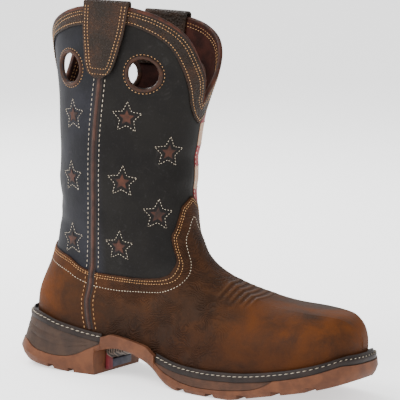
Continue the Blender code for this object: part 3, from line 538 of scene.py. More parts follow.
lateral_share = Curve(OUTLINE, "station", "lateral")
medial_share = Curve(OUTLINE, "station", "medial")
ledge_share = Curve(LEDGE, "station", "height")
tread_share = Curve(TREAD, "station", "height")
heel_gum_share = Curve(HEEL_GUM, "station", "height")
ball_gum_share = Curve(BALL_GUM, "station", "height")
front_reach = Curve(RINGS, "place", "front_reach")
front_height = Curve(RINGS, "place", "front_height")
back_reach = Curve(RINGS, "place", "back_reach")
back_height = Curve(RINGS, "place", "back_height")
sag_share = Curve(RINGS, "place", "sag")
reach_of_front = Curve(RINGS[1:], "front_height", "front_reach")
reach_of_back = Curve(RINGS, "back_height", "back_reach")
crown_share = Curve(RINGS[1:LAST_FOOT_RING + 1] + SHAFT_CROWN, "front_reach", "front_height")
girth_share = Curve(GIRTH, "height", "half_width")
foot_edge = Curve(EDGES, "turn", "foot")
band_edge = Curve(EDGES, "turn", "band")
top_edge = Curve(EDGES, "turn", "top")
seam_reach = Curve(SIDE_SEAM, "height", "reach")
third_row = Curve(THIRD_ROW, "turn", "height")
strap_taper = Curve(STRAP_TAPER, "drop", "half_width")

FEATHER_LENGTH = OUTSOLE_LENGTH - FEATHER_INSET.heel - FEATHER_INSET.ball
TOP_PLACE = RINGS[-1].place


# The sole's outline and heights, by distance from the back of the heel

def inset_at(inset, x):
    return lerp(inset.heel, inset.ball, smoothstep(x / OUTSOLE_LENGTH / INSET_BLEND_STATION))


def station_at(inset, x):
    """Share of an inset outline's own length."""
    return clamp((x - inset.heel) / (OUTSOLE_LENGTH - inset.heel - inset.ball))


def side_half(inset, x, side):
    """Half width of an inset outline, without the rounding of heel and toe."""
    station = station_at(inset, x)
    share = lateral_share(station) if side < 0 else medial_share(station)
    return (BALL_WIDTH / 2 - inset_at(inset, x)) * share


def heel_round(station):
    return superellipse(1 - station / HEEL_ROUND, HEEL_EXPONENT)


def toe_round(station):
    return superellipse(1 - (1 - station) / TOE_ROUND, TOE_EXPONENT)


def outline_y(inset, x, side):
    station = station_at(inset, x)
    return side * side_half(inset, x, side) * heel_round(station) * toe_round(station)


def outline_x(inset, station):
    """Place of a station on an inset outline: the same for all of them away from the heel and toe."""
    if station < END_STATION:
        return lerp(inset.heel, END_STATION * OUTSOLE_LENGTH, station / END_STATION)
    if station > 1 - END_STATION:
        toe = OUTSOLE_LENGTH - inset.ball
        return lerp(toe, (1 - END_STATION) * OUTSOLE_LENGTH, (1 - station) / END_STATION)
    return station * OUTSOLE_LENGTH


def to_frame(x):
    return x - OUTSOLE_LENGTH / 2


def blended(first, second, share, more=0.0):
    """An inset on the way from one to another, and a little more."""
    return Inset(*(lerp(a, b, share) + more for a, b in zip(first, second)))


def outline_point(inset, station, side, height, spread=1.0):
    """Point of an inset outline, at the height that a function gives by distance from the heel's back."""
    x = outline_x(inset, station)
    return Vector((to_frame(x), outline_y(inset, x, side) * spread, height(x)))


def ledge_height(x):
    return HEEL_LEDGE_HEIGHT * ledge_share(station_at(FEATHER_INSET, x))


def welt_underside(x):
    return ledge_height(x) - WELT_THICKNESS


def tread_height(x):
    return HEEL_LEDGE_HEIGHT * tread_share(x / OUTSOLE_LENGTH)


def arch_lip(station):
    """How far the gum stands above the ledge beside the arch."""
    rise = smoothstep((station - ARCH_START) / LIP_RAMP) * smoothstep((ARCH_END - station) / LIP_RAMP)
    return lerp(ARCH_LIP_START, ARCH_LIP_HEIGHT, rise)


def gum_rim(x):
    """Top of the gum at the side of the boot."""
    station = x / OUTSOLE_LENGTH
    if station < (HEEL_END + ARCH_START) / 2:
        return welt_underside(x) * heel_gum_share(station)
    if station < (ARCH_END + BALL_START) / 2:
        return ledge_height(x) + arch_lip(station)
    if station < (PANEL_END + TOE_START) / 2:
        return welt_underside(x) * ball_gum_share(station)
    return welt_underside(x) - GAP


def over_arch(x):
    station = x / OUTSOLE_LENGTH
    return (HEEL_END + ARCH_START) / 2 < station < (ARCH_END + BALL_START) / 2


def gum_floor(x):
    """Top of the gum further in, below the midsoles, the leather or the insole."""
    if over_arch(x) or x / OUTSOLE_LENGTH > TOE_START + STEP_STATION / 2:
        return ledge_height(x)
    return gum_rim(x) - GAP


def floor_inset(x):
    """Where the gum steps from its rim to its floor."""
    if over_arch(x):
        return LIP_INSET
    return PLUG_INSET if x / OUTSOLE_LENGTH > (PANEL_END + TOE_START) / 2 else SEAT_INSET


# The leather's surface

def reach_x(reach):
    return FEATHER_INSET.heel + reach * FEATHER_LENGTH


def feather_height(reach):
    """Height of the feather line, as a share of the leather's height."""
    return ledge_height(reach_x(reach)) / LEATHER_HEIGHT


def ring_point(turn, place):
    """Reach and height, in shares, of a ring of the leather at a turn."""
    along = (1 + math.cos(turn)) / 2
    reach = lerp(back_reach(place), front_reach(place), along)
    height = lerp(back_height(place), front_height(place), along)
    ends = lerp(feather_height(0), feather_height(1), reach)
    height += (feather_height(reach) - ends) * sag_share(place)
    if place < 1:
        feather = lerp(feather_height(0), feather_height(1), along)
        first = lerp(RINGS[0].back_height, RINGS[0].front_height, along)
        height += (feather - first) * (1 - place)
    return reach, height


def foot_weight(reach, height):
    """0 on the heel and shaft, 1 on the forefoot."""
    past = (height - HANDOVER_HEIGHT) * HANDOVER_SLANT
    return smoothstep((reach - HANDOVER_REACH - past) / HANDOVER_WIDTH)


def foot_climb(reach, height):
    """0 at the feather line, 1 on the crown of the foot."""
    feather = feather_height(reach)
    crown = max(crown_share(reach), feather + GAP / LEATHER_HEIGHT)
    return clamp((height - feather) / (crown - feather))


def half_width(reach, height, side):
    """Half width of the leather at a point of the side view: the shaft's sections blend into the foot's."""
    sole_half = side_half(FEATHER_INSET, reach_x(reach), side)
    rise = smoothstep((height - GIRTH_START) / GIRTH_RISE)
    back = reach_of_back(height)
    front = reach_of_front(height)
    half_ring = (min(front, INSTEP_REACH) - back) / 2
    rounding = lerp(HEEL_ROUND, half_ring, smoothstep((height - ROUNDING_START) / ROUNDING_RISE))
    shaft_half = lerp(sole_half, SHAFT_WIDTH / 2 * girth_share(height), rise)
    shaft_half *= superellipse(1 - (reach - back) / rounding, lerp(HEEL_EXPONENT, SHAFT_EXPONENT, rise))
    shaft_half *= superellipse(1 - (front - reach) / half_ring, SHAFT_EXPONENT)
    climb = foot_climb(reach, height)
    box = smoothstep((reach - TOE_BOX_START) / TOE_BOX_RISE)
    foot_half = sole_half + SIDE_BULGE * 4 * climb * (1 - climb)
    foot_half *= toe_round(clamp(reach)) * superellipse(climb, lerp(BALL_EXPONENT, TOE_BOX_EXPONENT, box))
    return lerp(shaft_half, foot_half, foot_weight(reach, height))


def leather_at(reach, height, side):
    """Point of the shaft's face in the side view's shares; side 0 is on the crown."""
    centre = CROWN_SHIFT * foot_weight(reach, height) * foot_climb(reach, height)
    half = side * half_width(reach, height, side) if side else 0.0
    return Vector((to_frame(reach_x(reach)), centre + half, height * LEATHER_HEIGHT))


def leather(turn, place):
    """Point of the shaft's face at a turn and a ring."""
    turn %= math.tau
    side = 0 if abs(math.sin(turn)) < 1e-6 else (-1 if turn < math.pi else 1)
    return leather_at(*ring_point(turn, place), side)


def outward(turn, place):
    """Direction out of the leather."""
    step = 0.02
    across = leather(turn + step, place) - leather(turn - step, place)
    up = leather(turn, min(place + step, TOP_PLACE)) - leather(turn, max(place - step, 0))
    return up.cross(across).normalized()


def outward_at(reach, height, side):
    """Direction out of the leather, from the side view's shares."""
    step = 0.004
    along = leather_at(reach + step, height, side) - leather_at(reach - step, height, side)
    up = leather_at(reach, height + step, side) - leather_at(reach, height - step, side)
    return along.cross(up).normalized() * -side


def turn_degrees(turn):
    """Turn from the front, the same on both sides."""
    turn = math.degrees(turn % math.tau)
    return min(turn, 360 - turn)


def edge_height(edge, turn):
    """Height of an edge of the leather. On the medial side the collar rises less above its dips."""
    degrees = turn_degrees(turn)
    dips = lerp(edge(0), edge(180), degrees / 180)
    if edge is foot_edge or turn % math.tau <= math.pi:
        return edge(degrees)
    return lerp(dips, edge(degrees), MEDIAL_COLLAR)


def topline(side):
    """Height of the collar at the pull strap."""
    return edge_height(top_edge, math.radians(STRAP_TURN if side < 0 else 360 - STRAP_TURN))


def place_of(turn, height):
    """The ring that reaches a height at a turn."""
    low, high = 0.0, float(TOP_PLACE)
    halvings = 24
    for _ in range(halvings):
        middle = (low + high) / 2
        if ring_point(turn, middle)[1] < height:
            low = middle
        else:
            high = middle
    return (low + high) / 2


HOLES = [(leather_at(reach, HOLE_HEIGHTS[name], side), outward_at(reach, HOLE_HEIGHTS[name], side))
         for name, side in SIDES.items() for reach in (FRONT_HOLE_REACH, BACK_HOLE_REACH)]


# Turns and places on the leather

def crease(point):
    """How far the listed folds push the leather in or out at a point of its surface."""
    x = point.x + OUTSOLE_LENGTH / 2
    push = 0.0
    for fold in FOLDS:
        if fold.side and fold.side * point.y < 0:
            continue
        run_x, run_z = fold.x1 - fold.x0, fold.z1 - fold.z0
        length = math.hypot(run_x, run_z)
        along = ((x - fold.x0) * run_x + (point.z - fold.z0) * run_z) / length
        off = ((x - fold.x0) * run_z - (point.z - fold.z0) * run_x) / length
        if abs(off) > FOLD_SPREAD * fold.width:
            continue
        ends = smoothstep((along + FOLD_END) / FOLD_FADE)
        ends *= smoothstep((length + FOLD_END - along) / FOLD_FADE)
        push += fold.push * ends * math.exp(-(off / fold.width) ** 2)
    if point.z < FLEX_TOP and abs(point.y) < FLEX_HALF_SPAN:
        share, over = abs(point.y) / FLEX_HALF_SPAN, 1 + point.y / FLEX_HALF_SPAN
        ridge = (x - FLEX_START - FLEX_LEAN * over * (1 - FLEX_CURVE * over)) / FLEX_STEP
        if 0 < ridge < FLEX_COUNT:
            fade = smoothstep((1 - share) / FLEX_FADE)
            push += FLEX_PUSH * fade * (1 - math.cos(math.tau * ridge)) / 2
    return push


def on_ring(turn, place, lift):
    """A point above the leather at a turn and a place, with the direction out of it."""
    base = leather(turn, place)
    out = outward(turn, place)
    return base + out * (lift + crease(base)), out


def on_leather(turn, height, lift):
    """The same at a turn and a height in metres."""
    return on_ring(turn, place_of(turn, height / LEATHER_HEIGHT), lift)


def on_side(reach, height, side, lift):
    """The same from the side view's shares."""
    base = leather_at(reach, height, side)
    out = outward_at(reach, height, side)
    return base + out * (lift + crease(base)), out


def turn_radius(turn, place):
    step = 0.04
    chord = (leather(turn + step, place) - leather(turn - step, place)).length
    return max(chord / (2 * step), SHAFT_WIDTH / 4)


def shifted(turn, place, right, up):
    """Turn and place a little to the right of a point and above it, seen from outside, in two steps."""
    turn_step, place_step = 0.03, 0.1
    for _ in range(2):
        out = outward(turn, place)
        level = Vector((0, 0, 1)).cross(out).normalized()
        move = (level * right + out.cross(level) * up) / 2
        by_turn = (leather(turn + turn_step, place) - leather(turn - turn_step, place)) / (2 * turn_step)
        by_place = (leather(turn, place + place_step) - leather(turn, place - place_step)) / (2 * place_step)
        tt, tp, pp = by_turn.dot(by_turn), by_turn.dot(by_place), by_place.dot(by_place)
        mt, mp = move.dot(by_turn), move.dot(by_place)
        area = tt * pp - tp * tp
        turn += (mt * pp - mp * tp) / area
        place += (mp * tt - mt * tp) / area
    return turn, place


def edge_metres(edge, turn):
    return edge_height(edge, turn) * LEATHER_HEIGHT


def beside_edge(edge, inset, turns):
    """Turns and heights of a line that runs beside an edge of the leather, inset below it."""
    line = []
    for turn in turns:
        step = 0.03
        radius = turn_radius(turn, place_of(turn, edge_height(edge, turn)))
        climb = (edge_metres(edge, turn + step) - edge_metres(edge, turn - step)) / (2 * step * radius)
        size = math.hypot(1.0, climb)
        line.append((turn + inset * climb / size / radius, edge_metres(edge, turn) - inset / size))
    return line


def turns_round(count):
    return [math.tau * i / count for i in range(count + 1)]


# Mesh helpers

def mesh_of(name, bm):
    """A mesh with what a bmesh holds, which is then freed."""
    mesh = bpy.data.meshes.new(name)
    bm.to_mesh(mesh)
    bm.free()
    return mesh


def linked(name, data):
    """A new object of the scene."""
    thing = bpy.data.objects.new(name, data)
    bpy.context.scene.collection.objects.link(thing)
    return thing


def finish_piece(name, bm, material, slot, stands_for=(), smooth=60):
    """Turns a bmesh into a piece that rides on the boot."""
    mesh = mesh_of(name, bm)
    mesh.shade_smooth()
    mesh.set_sharp_from_angle(angle=math.radians(smooth))
    mesh.materials.append(material)
    piece = linked(name, mesh)
    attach(piece, "root")
    if stands_for:
        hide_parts(*stands_for)
    return piece


def mapped(across, along, place):
    """A grid laid where place says, for shares from 0 to 1 across and along, with its seams merged."""
    bm = bmesh.new()
    bmesh.ops.create_grid(bm, x_segments=across, y_segments=along, size=0.5)
    for vertex in bm.verts:
        vertex.co = place(vertex.co.x + 0.5, vertex.co.y + 0.5)
    bmesh.ops.remove_doubles(bm, verts=bm.verts, dist=1e-6)
    bmesh.ops.recalc_face_normals(bm, faces=bm.faces)
    return bm


def skin(start, stop, lower, upper, across, along, lift):
    """A skin on the leather between two turns and two heights, pushed out along its own normals."""
    bm = bmesh.new()
    bmesh.ops.create_grid(bm, x_segments=across, y_segments=along, size=0.5)
    columns = {}
    for vertex in bm.verts:
        columns.setdefault(round((vertex.co.x + 0.5) * across), []).append(vertex)
    for column, vertices in columns.items():
        turn = lerp(start, stop, column / across) % math.tau
        low, high = lower(turn), upper(turn)
        for vertex in vertices:
            vertex.co = leather(turn, lerp(low, high, vertex.co.y + 0.5))
    bmesh.ops.remove_doubles(bm, verts=bm.verts, dist=1e-5)
    # The crowded columns of the toe tip are evened out sideways, so that their normals are steady
    tip = [vertex for vertex in bm.verts if vertex.co.x > TIP_START
           and abs(vertex.co.y) < TIP_HALF_WIDTH and vertex.co.z < TIP_TOP]
    for _ in range(TIP_ROUNDS if tip else 0):
        bmesh.ops.smooth_vert(bm, verts=tip, factor=0.5, use_axis_y=True)
    bmesh.ops.recalc_face_normals(bm, faces=bm.faces)
    bm.normal_update()
    sample = max(bm.faces, key=lambda face: abs(face.normal.y) * face.calc_area())
    if sample.normal.y * sample.calc_center_median().y < 0:
        bmesh.ops.reverse_faces(bm, faces=bm.faces)
        bm.normal_update()
    moves = [(vertex, vertex.normal * (lift + crease(vertex.co))) for vertex in bm.verts]
    for vertex, move in moves:
        vertex.co += move
    return bm


def cut_holes(bm, radius):
    """Takes out the faces inside the pull holes, under the bindings."""
    near = 0.02
    gone = []
    for centre, axis in HOLES:
        for face in bm.faces:
            off = face.calc_center_median() - centre
            depth = off.dot(axis)
            if abs(depth) < near and (off - axis * depth).length < radius:
                gone.append(face)
    bmesh.ops.delete(bm, geom=gone, context="FACES")


def walled(piece, thickness, offset=-1):
    """Gives a skin its wall: behind it for an offset of -1, in front of it for 1."""
    wall = piece.modifiers.new("Wall", "SOLIDIFY")
    wall.thickness = thickness
    wall.offset = offset


def edged(piece, width):
    """Rounds a piece's sharp edges."""
    bevel = piece.modifiers.new("Edge", "BEVEL")
    bevel.width = width
    bevel.segments = 2
    bevel.limit_method = "ANGLE"
    bevel.angle_limit = math.radians(50)


def at_height(edge, shift):
    """The ring that an edge reaches at each turn, moved up or down by a few millimetres."""
    return lambda turn: place_of(turn, edge_height(edge, turn) + shift / LEATHER_HEIGHT)


class Stitcher:
    """Gathers one piece's stitches, each a small rounded thread on the surface."""

    def __init__(self):
        self.bm = bmesh.new()

    def stitch(self, start, stop, out, width):
        along = stop - start
        across = out.cross(along).normalized()
        turned = Matrix((along.normalized(), across, out)).transposed().to_4x4()
        size = Matrix.Diagonal((along.length / 2, width / 2, width * STITCH_FLATNESS, 1.0))
        bmesh.ops.create_icosphere(
            self.bm, subdivisions=1, radius=1.0,
            matrix=Matrix.Translation((start + stop) / 2) @ turned @ size)

    def row(self, path, kind, slant=0.0):
        """Stitches of one kind along a path of points, each with its direction out."""
        pitch = kind.length + kind.pause
        total = sum((b[0] - a[0]).length for a, b in zip(path, path[1:]))
        count = max(1, round(total / pitch))
        scale = total / (count * pitch)
        marks = []
        for i in range(count):
            marks += [i * pitch * scale, (i * pitch + kind.length) * scale]
        ends, walked, k = [], 0.0, 0
        for mark in marks:
            while k < len(path) - 2 and walked + (path[k + 1][0] - path[k][0]).length < mark:
                walked += (path[k + 1][0] - path[k][0]).length
                k += 1
            a, b = path[k], path[k + 1]
            share = clamp((mark - walked) / max((b[0] - a[0]).length, 1e-9))
            ends.append((a[0].lerp(b[0], share), a[1]))
        for (start, out), (stop, _) in zip(ends[::2], ends[1::2]):
            lean = out.cross(stop - start).normalized() * slant
            self.stitch(start - lean, stop + lean, out, kind.width)

    def finish(self, name, material, slot="binding_leather"):
        finish_piece(name, self.bm, material, slot, smooth=180)


def leather_path(line, lift):
    return [on_leather(turn, height, lift) for turn, height in line]


# Shader maths

def tone(red, green, blue):
    """A colour as it is seen, 0 to 255, in linear light."""
    return (*(((c / 255 + 0.055) / 1.055) ** 2.4 for c in (red, green, blue)), 1.0)


class Value:
    """A socket that takes part in sums and products."""

    def __init__(self, finish, socket):
        self.finish = finish
        self.socket = socket

    def __add__(self, other):
        return self.finish.maths("ADD", self, other)

    __radd__ = __add__

    def __sub__(self, other):
        return self.finish.maths("SUBTRACT", self, other)

    def __rsub__(self, other):
        return self.finish.maths("SUBTRACT", other, self)

    def __mul__(self, other):
        return self.finish.maths("MULTIPLY", self, other)

    def __abs__(self):
        return self.finish.maths("ABSOLUTE", self)


class Finish:
    """A material with its shader, built from values."""

    def __init__(self, name, **constants):
        self.material = bpy.data.materials.new(name)
        self.material.use_nodes = True
        self.tree = self.material.node_tree
        self.shader = self.tree.nodes["Principled BSDF"]
        for socket, value in constants.items():
            self.shader.inputs[socket.replace("_", " ")].default_value = value
        self.place = self.node("ShaderNodeTexCoord", output="Object")
        split = {"Vector": self.place}
        self.x, self.y, self.z = (self.node("ShaderNodeSeparateXYZ", {}, split, i) for i in range(3))

    def node(self, kind, settings=None, inputs=None, output=0):
        made = self.tree.nodes.new(kind)
        for name, value in (settings or {}).items():
            setattr(made, name, value)
        for key, value in (inputs or {}).items():
            if isinstance(value, Value):
                self.tree.links.new(value.socket, made.inputs[key])
            else:
                made.inputs[key].default_value = value
        return Value(self, made.outputs[output])

    def maths(self, operation, *values):
        return self.node("ShaderNodeMath", {"operation": operation}, dict(enumerate(values)))

    def waves(self, value, step):
        """Up from 0 to 1 and down again over each step of a value."""
        return self.maths("PINGPONG", value, step / 2) * (2 / step)

    def stretched(self, *scale):
        return self.node("ShaderNodeMapping", {}, {"Vector": self.place, "Scale": scale})

    def noise(self, scale, detail=3.0, roughness=0.5, distortion=0.0, vector=None):
        return self.node("ShaderNodeTexNoise", {}, {
            "Vector": vector or self.place, "Scale": scale, "Detail": detail,
            "Roughness": roughness, "Distortion": distortion})

    def cells(self, scale, vector=None):
        return self.node("ShaderNodeTexVoronoi", {}, {"Vector": vector or self.place, "Scale": scale})

    def ramp(self, value, start, stop):
        """0 before start, 1 after stop, smooth between."""
        return self.node("ShaderNodeMapRange", {"interpolation_type": "SMOOTHSTEP"},
                         {0: value, 1: start, 2: stop, 3: 0.0, 4: 1.0})

    def mix(self, share, first, second):
        return self.node("ShaderNodeMix", {"data_type": "RGBA"}, {0: share, 6: first, 7: second}, 2)

    def bump(self, height, depth, strength=1.0, normal=None):
        inputs = {"Height": height, "Distance": depth, "Strength": strength}
        if normal:
            inputs["Normal"] = normal
        return self.node("ShaderNodeBump", {}, inputs)

    def wear(self, colour=None, roughness=None, normal=None):
        """Joins what changes over the surface to the shader and gives back the material."""
        for socket, value in (("Base Color", colour), ("Roughness", roughness), ("Normal", normal)):
            if value:
                self.tree.links.new(value.socket, self.shader.inputs[socket])
        return self.material


# Finishes

def oiled_leather():
    """Distressed brown foot leather: warmer where it is pulled at toe and heel, wrinkled over the vamp.
    Painted shade darkens it towards the welt, in the wrinkles and between the flex ridges, and painted
    highlight lightens the ridges.
    """
    f = Finish("oiled_leather", Specular_IOR_Level=0.07)
    cloud = f.noise(13, 3, 0.5)
    mottle = f.noise(55, 6, 0.66, 0.4)
    fine = f.noise(420, 4, 0.65)
    toe = f.ramp(f.x, 0.010, 0.110)
    heel = f.ramp(f.x, -0.080, -0.128)
    pulled = toe + heel
    colour = f.mix(f.ramp(mottle, 0.30, 0.72), tone(40, 25, 15), tone(54, 33, 19))
    warm = f.ramp(cloud * 0.6 + mottle * 0.4 + pulled * 0.05, 0.40, 0.70)
    colour = f.mix(warm * (0.18 + pulled * 0.52), colour, tone(92, 48, 15))
    dark = f.ramp(f.noise(19, 4, 0.6, 0.0, f.stretched(1, 1, 1.4)), 0.52, 0.72)
    colour = f.mix(dark * 0.38, colour, tone(32, 18, 12))
    # Painted shade: the foot leather darkens towards the welt, standing in for the shade at the bottom
    colour = f.mix(f.ramp(f.z, 0.062, 0.034) * 0.45, colour, tone(27, 15, 10))
    colour = f.mix(f.ramp(fine, 0.50, 0.80) * 0.12, colour, tone(84, 56, 34))
    vamp = f.ramp(f.x, -0.080, -0.045) * f.ramp(f.x, 0.070, 0.020) * f.ramp(f.z, 0.130, 0.095)
    instep = f.ramp(f.z, 0.085, 0.110) * f.ramp(f.x, -0.02, 0.0)
    where = vamp + instep * 0.8
    flow = f.z + f.noise(24, 2) * 0.05 + f.noise(95, 2) * 0.010
    lines = f.waves(flow, WRINKLE_STEP)
    wrinkle = 1 - (1 - f.ramp(lines, 0.10, 0.80)) * f.ramp(f.noise(75, 3), 0.30, 0.62)
    folds = f.bump(wrinkle * where, 0.0008, 0.8)
    over = f.y * (1 / FLEX_HALF_SPAN) + 1
    flexed = f.x + OUTSOLE_LENGTH / 2 - FLEX_START - over * (1 - over * FLEX_CURVE) * FLEX_LEAN
    last = FLEX_STEP * FLEX_COUNT
    inside = f.ramp(flexed, 0.0, FLEX_STEP * 0.6) * f.ramp(flexed, last, last - FLEX_STEP * 0.6)
    spread = f.ramp(abs(f.y), FLEX_HALF_SPAN, FLEX_HALF_SPAN * (1 - FLEX_FADE))
    across = inside * spread * f.ramp(f.z, 0.056, 0.062)
    ridge = f.ramp(f.waves(flexed, FLEX_STEP), 0.15, 0.85)
    flex = f.bump(ridge * across, 0.0010, 0.8, folds)
    grain = f.bump(f.cells(640) * 0.6 + fine * 0.8, 0.00035, 0.5, flex)
    # Painted shade: the troughs of the wrinkles are darkened, in step with their bump
    colour = f.mix((1 - wrinkle) * where * 0.40, colour, tone(24, 14, 10))
    # Painted shade between the flex ridges and painted highlight on them, in step with their bump
    colour = f.mix((1 - ridge) * across * 0.40, colour, tone(22, 14, 10))
    colour = f.mix(ridge * across * 0.18, colour, tone(96, 70, 50))
    return f.wear(colour, 0.56 + f.ramp(mottle, 0.3, 0.8) * 0.20, grain)


def shaft_leather():
    """Charcoal shaft leather, bluer on the back panel behind the side seams, and lighter there as painted
    light from the left and back.
    """
    f = Finish("shaft_leather", Specular_IOR_Level=0.10)
    # The back panel's tone is its own bluish grey, made partly lighter as painted light from the left and
    # back
    back = f.ramp(f.x, -0.062, -0.074)
    cloud = f.noise(26, 4, 0.55)
    fine = f.noise(520, 3, 0.6)
    front_tone = f.mix(f.ramp(cloud, 0.35, 0.65), tone(14, 12, 11), tone(21, 19, 17))
    back_tone = f.mix(f.ramp(cloud, 0.35, 0.65), tone(21, 21, 24), tone(31, 31, 36))
    colour = f.mix(back, front_tone, back_tone)
    colour = f.mix(f.ramp(fine, 0.55, 0.8) * 0.10, colour, tone(74, 73, 76))
    scuff = f.ramp(f.noise(60, 5, 0.7, 1.0), 0.60, 0.72)
    colour = f.mix(scuff * 0.08, colour, tone(90, 86, 84))
    soft = f.bump(f.noise(34, 2, 0.5), 0.0018, 0.5)
    grain = f.bump(f.cells(700) * 0.6 + fine * 0.6, 0.00022, 0.4, soft)
    return f.wear(colour, 0.52 + cloud * 0.12, grain)


def collar_leather():
    """Tumbled olive brown leather of the collar band and the straps."""
    f = Finish("collar_leather", Specular_IOR_Level=0.16)
    pebbles = f.cells(400, f.stretched(1, 1, 1.3))
    cloud = f.noise(44, 4, 0.6)
    colour = f.mix(f.ramp(cloud, 0.38, 0.66), tone(32, 23, 15), tone(52, 33, 20))
    edges = f.ramp(pebbles, 0.22, 0.60)
    colour = f.mix(edges * 0.50, colour, tone(18, 12, 9))
    grain = f.bump(1 - edges, 0.0008, 0.8)
    return f.wear(colour, 0.50 + cloud * 0.15, grain)


def seen_tones(name):
    """A plain finish's light and dark tone."""
    return (tone(*seen) for seen in TONES[name])


def red_brown_leather(name):
    f = Finish(name, Specular_IOR_Level=0.18)
    light, dark = seen_tones(name)
    cloud = f.noise(120, 4, 0.6)
    colour = f.mix(f.ramp(cloud, 0.35, 0.68), dark, light)
    return f.wear(colour, 0.45 + cloud * 0.2, f.bump(f.noise(700, 3), 0.0003, 0.4))


def stripe_leather():
    """Stripes across the medial front panel, by height, with a worn face."""
    f = Finish("stripe_leather", Specular_IOR_Level=0.16)
    cloud = f.noise(60, 4, 0.6)
    red = f.mix(cloud, tone(96, 24, 30), tone(130, 40, 44))
    cream = f.mix(cloud, tone(140, 108, 86), tone(170, 140, 118))
    pick = f.ramp(f.waves(f.z - STRIPE_START, 2 * STRIPE_HEIGHT), 0.49, 0.51)
    colour = f.mix(pick, red, cream)
    colour = f.mix(f.ramp(f.noise(90, 5, 0.7), 0.58, 0.74) * 0.3, colour, tone(104, 84, 74))
    return f.wear(colour, 0.52 + cloud * 0.14, f.bump(f.cells(700), 0.0003, 0.4))


def lining_leather():
    f = Finish("lining_leather", Specular_IOR_Level=0.1)
    cloud = f.noise(80, 4, 0.6)
    colour = f.mix(f.ramp(cloud, 0.35, 0.65), tone(32, 15, 12), tone(52, 26, 20))
    return f.wear(colour, 0.62 + cloud * 0.15, f.bump(f.noise(480, 3), 0.0003, 0.5))


def thread(name):
    f = Finish(name, Specular_IOR_Level=0.1)
    light, dark = seen_tones(name)
    fray = f.noise(900, 2)
    colour = f.mix(f.ramp(fray, 0.3, 0.7), dark, light)
    return f.wear(colour, 0.6 + fray * 0.2, f.bump(fray, 0.0002, 0.5))


def rubber(name, roughness):
    """Moulded rubber: mottled, dusty in patches, with a fine tooth."""
    f = Finish(name, Specular_IOR_Level=0.18)
    light, dark = seen_tones(name)
    cloud = f.noise(90, 5, 0.62)
    tooth = f.noise(900, 3, 0.6)
    colour = f.mix(f.ramp(cloud, 0.34, 0.68), dark, light)
    return f.wear(colour, roughness + cloud * 0.16, f.bump(tooth + cloud * 0.6, 0.0003, 0.5))


def plate_nylon():
    """The arch plate, with fine ribs across it and painted shade in the grooves between them."""
    f = Finish("plate_nylon", Specular_IOR_Level=0.2)
    cloud = f.noise(90, 4, 0.6)
    ridge = f.ramp(f.waves(f.x, PLATE_RIB_STEP), 0.25, 0.75)
    # Painted shade: the grooves between the ribs are dark, in step with the rib bump
    colour = f.mix(ridge, tone(30, 24, 21), f.mix(cloud, tone(84, 70, 60), tone(112, 96, 84)))
    return f.wear(colour, 0.45 + cloud * 0.15, f.bump(ridge, 0.0006, 0.7))


def insole_felt():
    f = Finish("insole_felt", Specular_IOR_Level=0.2)
    nap = f.noise(900, 4, 0.7)
    colour = f.mix(nap, tone(44, 38, 36), tone(78, 68, 62))
    return f.wear(colour, 0.85 + nap * 0.1, f.bump(nap, 0.0005, 0.6))


# The leather pieces

def make_foot(finish):
    bm = skin(0, math.tau, lambda turn: 0.0, at_height(foot_edge, 0), *FOOT_FACES, FOOT_LIFT)
    piece = finish_piece("foot_leather", bm, finish, "oiled_leather", ["upper"])
    walled(piece, FOOT_LAYER + LAYER_WALL)


def make_shaft(finish):
    lower, upper = at_height(foot_edge, -SKIN_OVERLAP), at_height(band_edge, SKIN_OVERLAP)
    bm = skin(0, math.tau, lower, upper, *SHAFT_FACES, -SHAFT_SINK)
    cut_holes(bm, HOLE_CUT)
    walled(finish_piece("shaft_leather", bm, finish, "oiled_leather"), SHAFT_SKIN_WALL)


def make_stripes(finish):
    lower, upper = at_height(foot_edge, -SKIN_OVERLAP), at_height(band_edge, STRIPE_OVERLAP)
    bm = skin(STRIPES_STOP, STRIPES_START, lower, upper, *STRIPE_FACES, 0.0005 - SHAFT_SINK)
    cut_holes(bm, HOLE_CUT)
    walled(finish_piece("stripe_panel", bm, finish, "oiled_leather"), STRIPE_WALL)


def make_band(finish):
    bm = skin(0, math.tau, at_height(band_edge, 0), at_height(top_edge, -TOP_ROOM), *BAND_FACES, BAND_LIFT)
    walled(finish_piece("collar_band", bm, finish, "collar_leather"), COLLAR_LAYER + LAYER_WALL)


def make_lining(finish):
    upper = at_height(top_edge, -TOP_ROOM)
    bm = skin(0, math.tau, lambda turn: place_of(turn, LINING_START), upper, *LINING_FACES, LINING_LIFT)
    cut_holes(bm, LINING_HOLE_CUT)
    bmesh.ops.reverse_faces(bm, faces=bm.faces)
    finish_piece("lining", bm, finish, "binding_leather")


def make_piping(finish):
    """The rolled edge over the topline, closed round the collar."""
    middle = (COLLAR_LAYER - SHAFT_WALL) / 2 - SHAFT_SINK
    half = (COLLAR_LAYER + SHAFT_WALL) / 2 + 0.0003
    drop = 0.0010
    over, along_edge = PIPING_FACES
    line = [on_leather(turn, edge_metres(top_edge, turn) - drop, middle) for turn in turns_round(along_edge)]

    def place(across, along):
        centre, out = line[round(along * along_edge)]
        angle = math.tau * across
        rise = Vector((0, 0, 1)) - out * out.z
        return centre + out * (half * math.cos(angle)) + rise.normalized() * (half * math.sin(angle))

    finish_piece("topline_piping", mapped(over, along_edge, place), finish, "binding_leather")


def round_hole(reach, height, side, radius, angle, lift):
    """A point at a radius round a pull hole's centre, with the direction out of the leather."""
    return on_side(reach + radius * math.cos(angle) / FEATHER_LENGTH,
                   height + radius * math.sin(angle) / LEATHER_HEIGHT, side, lift)


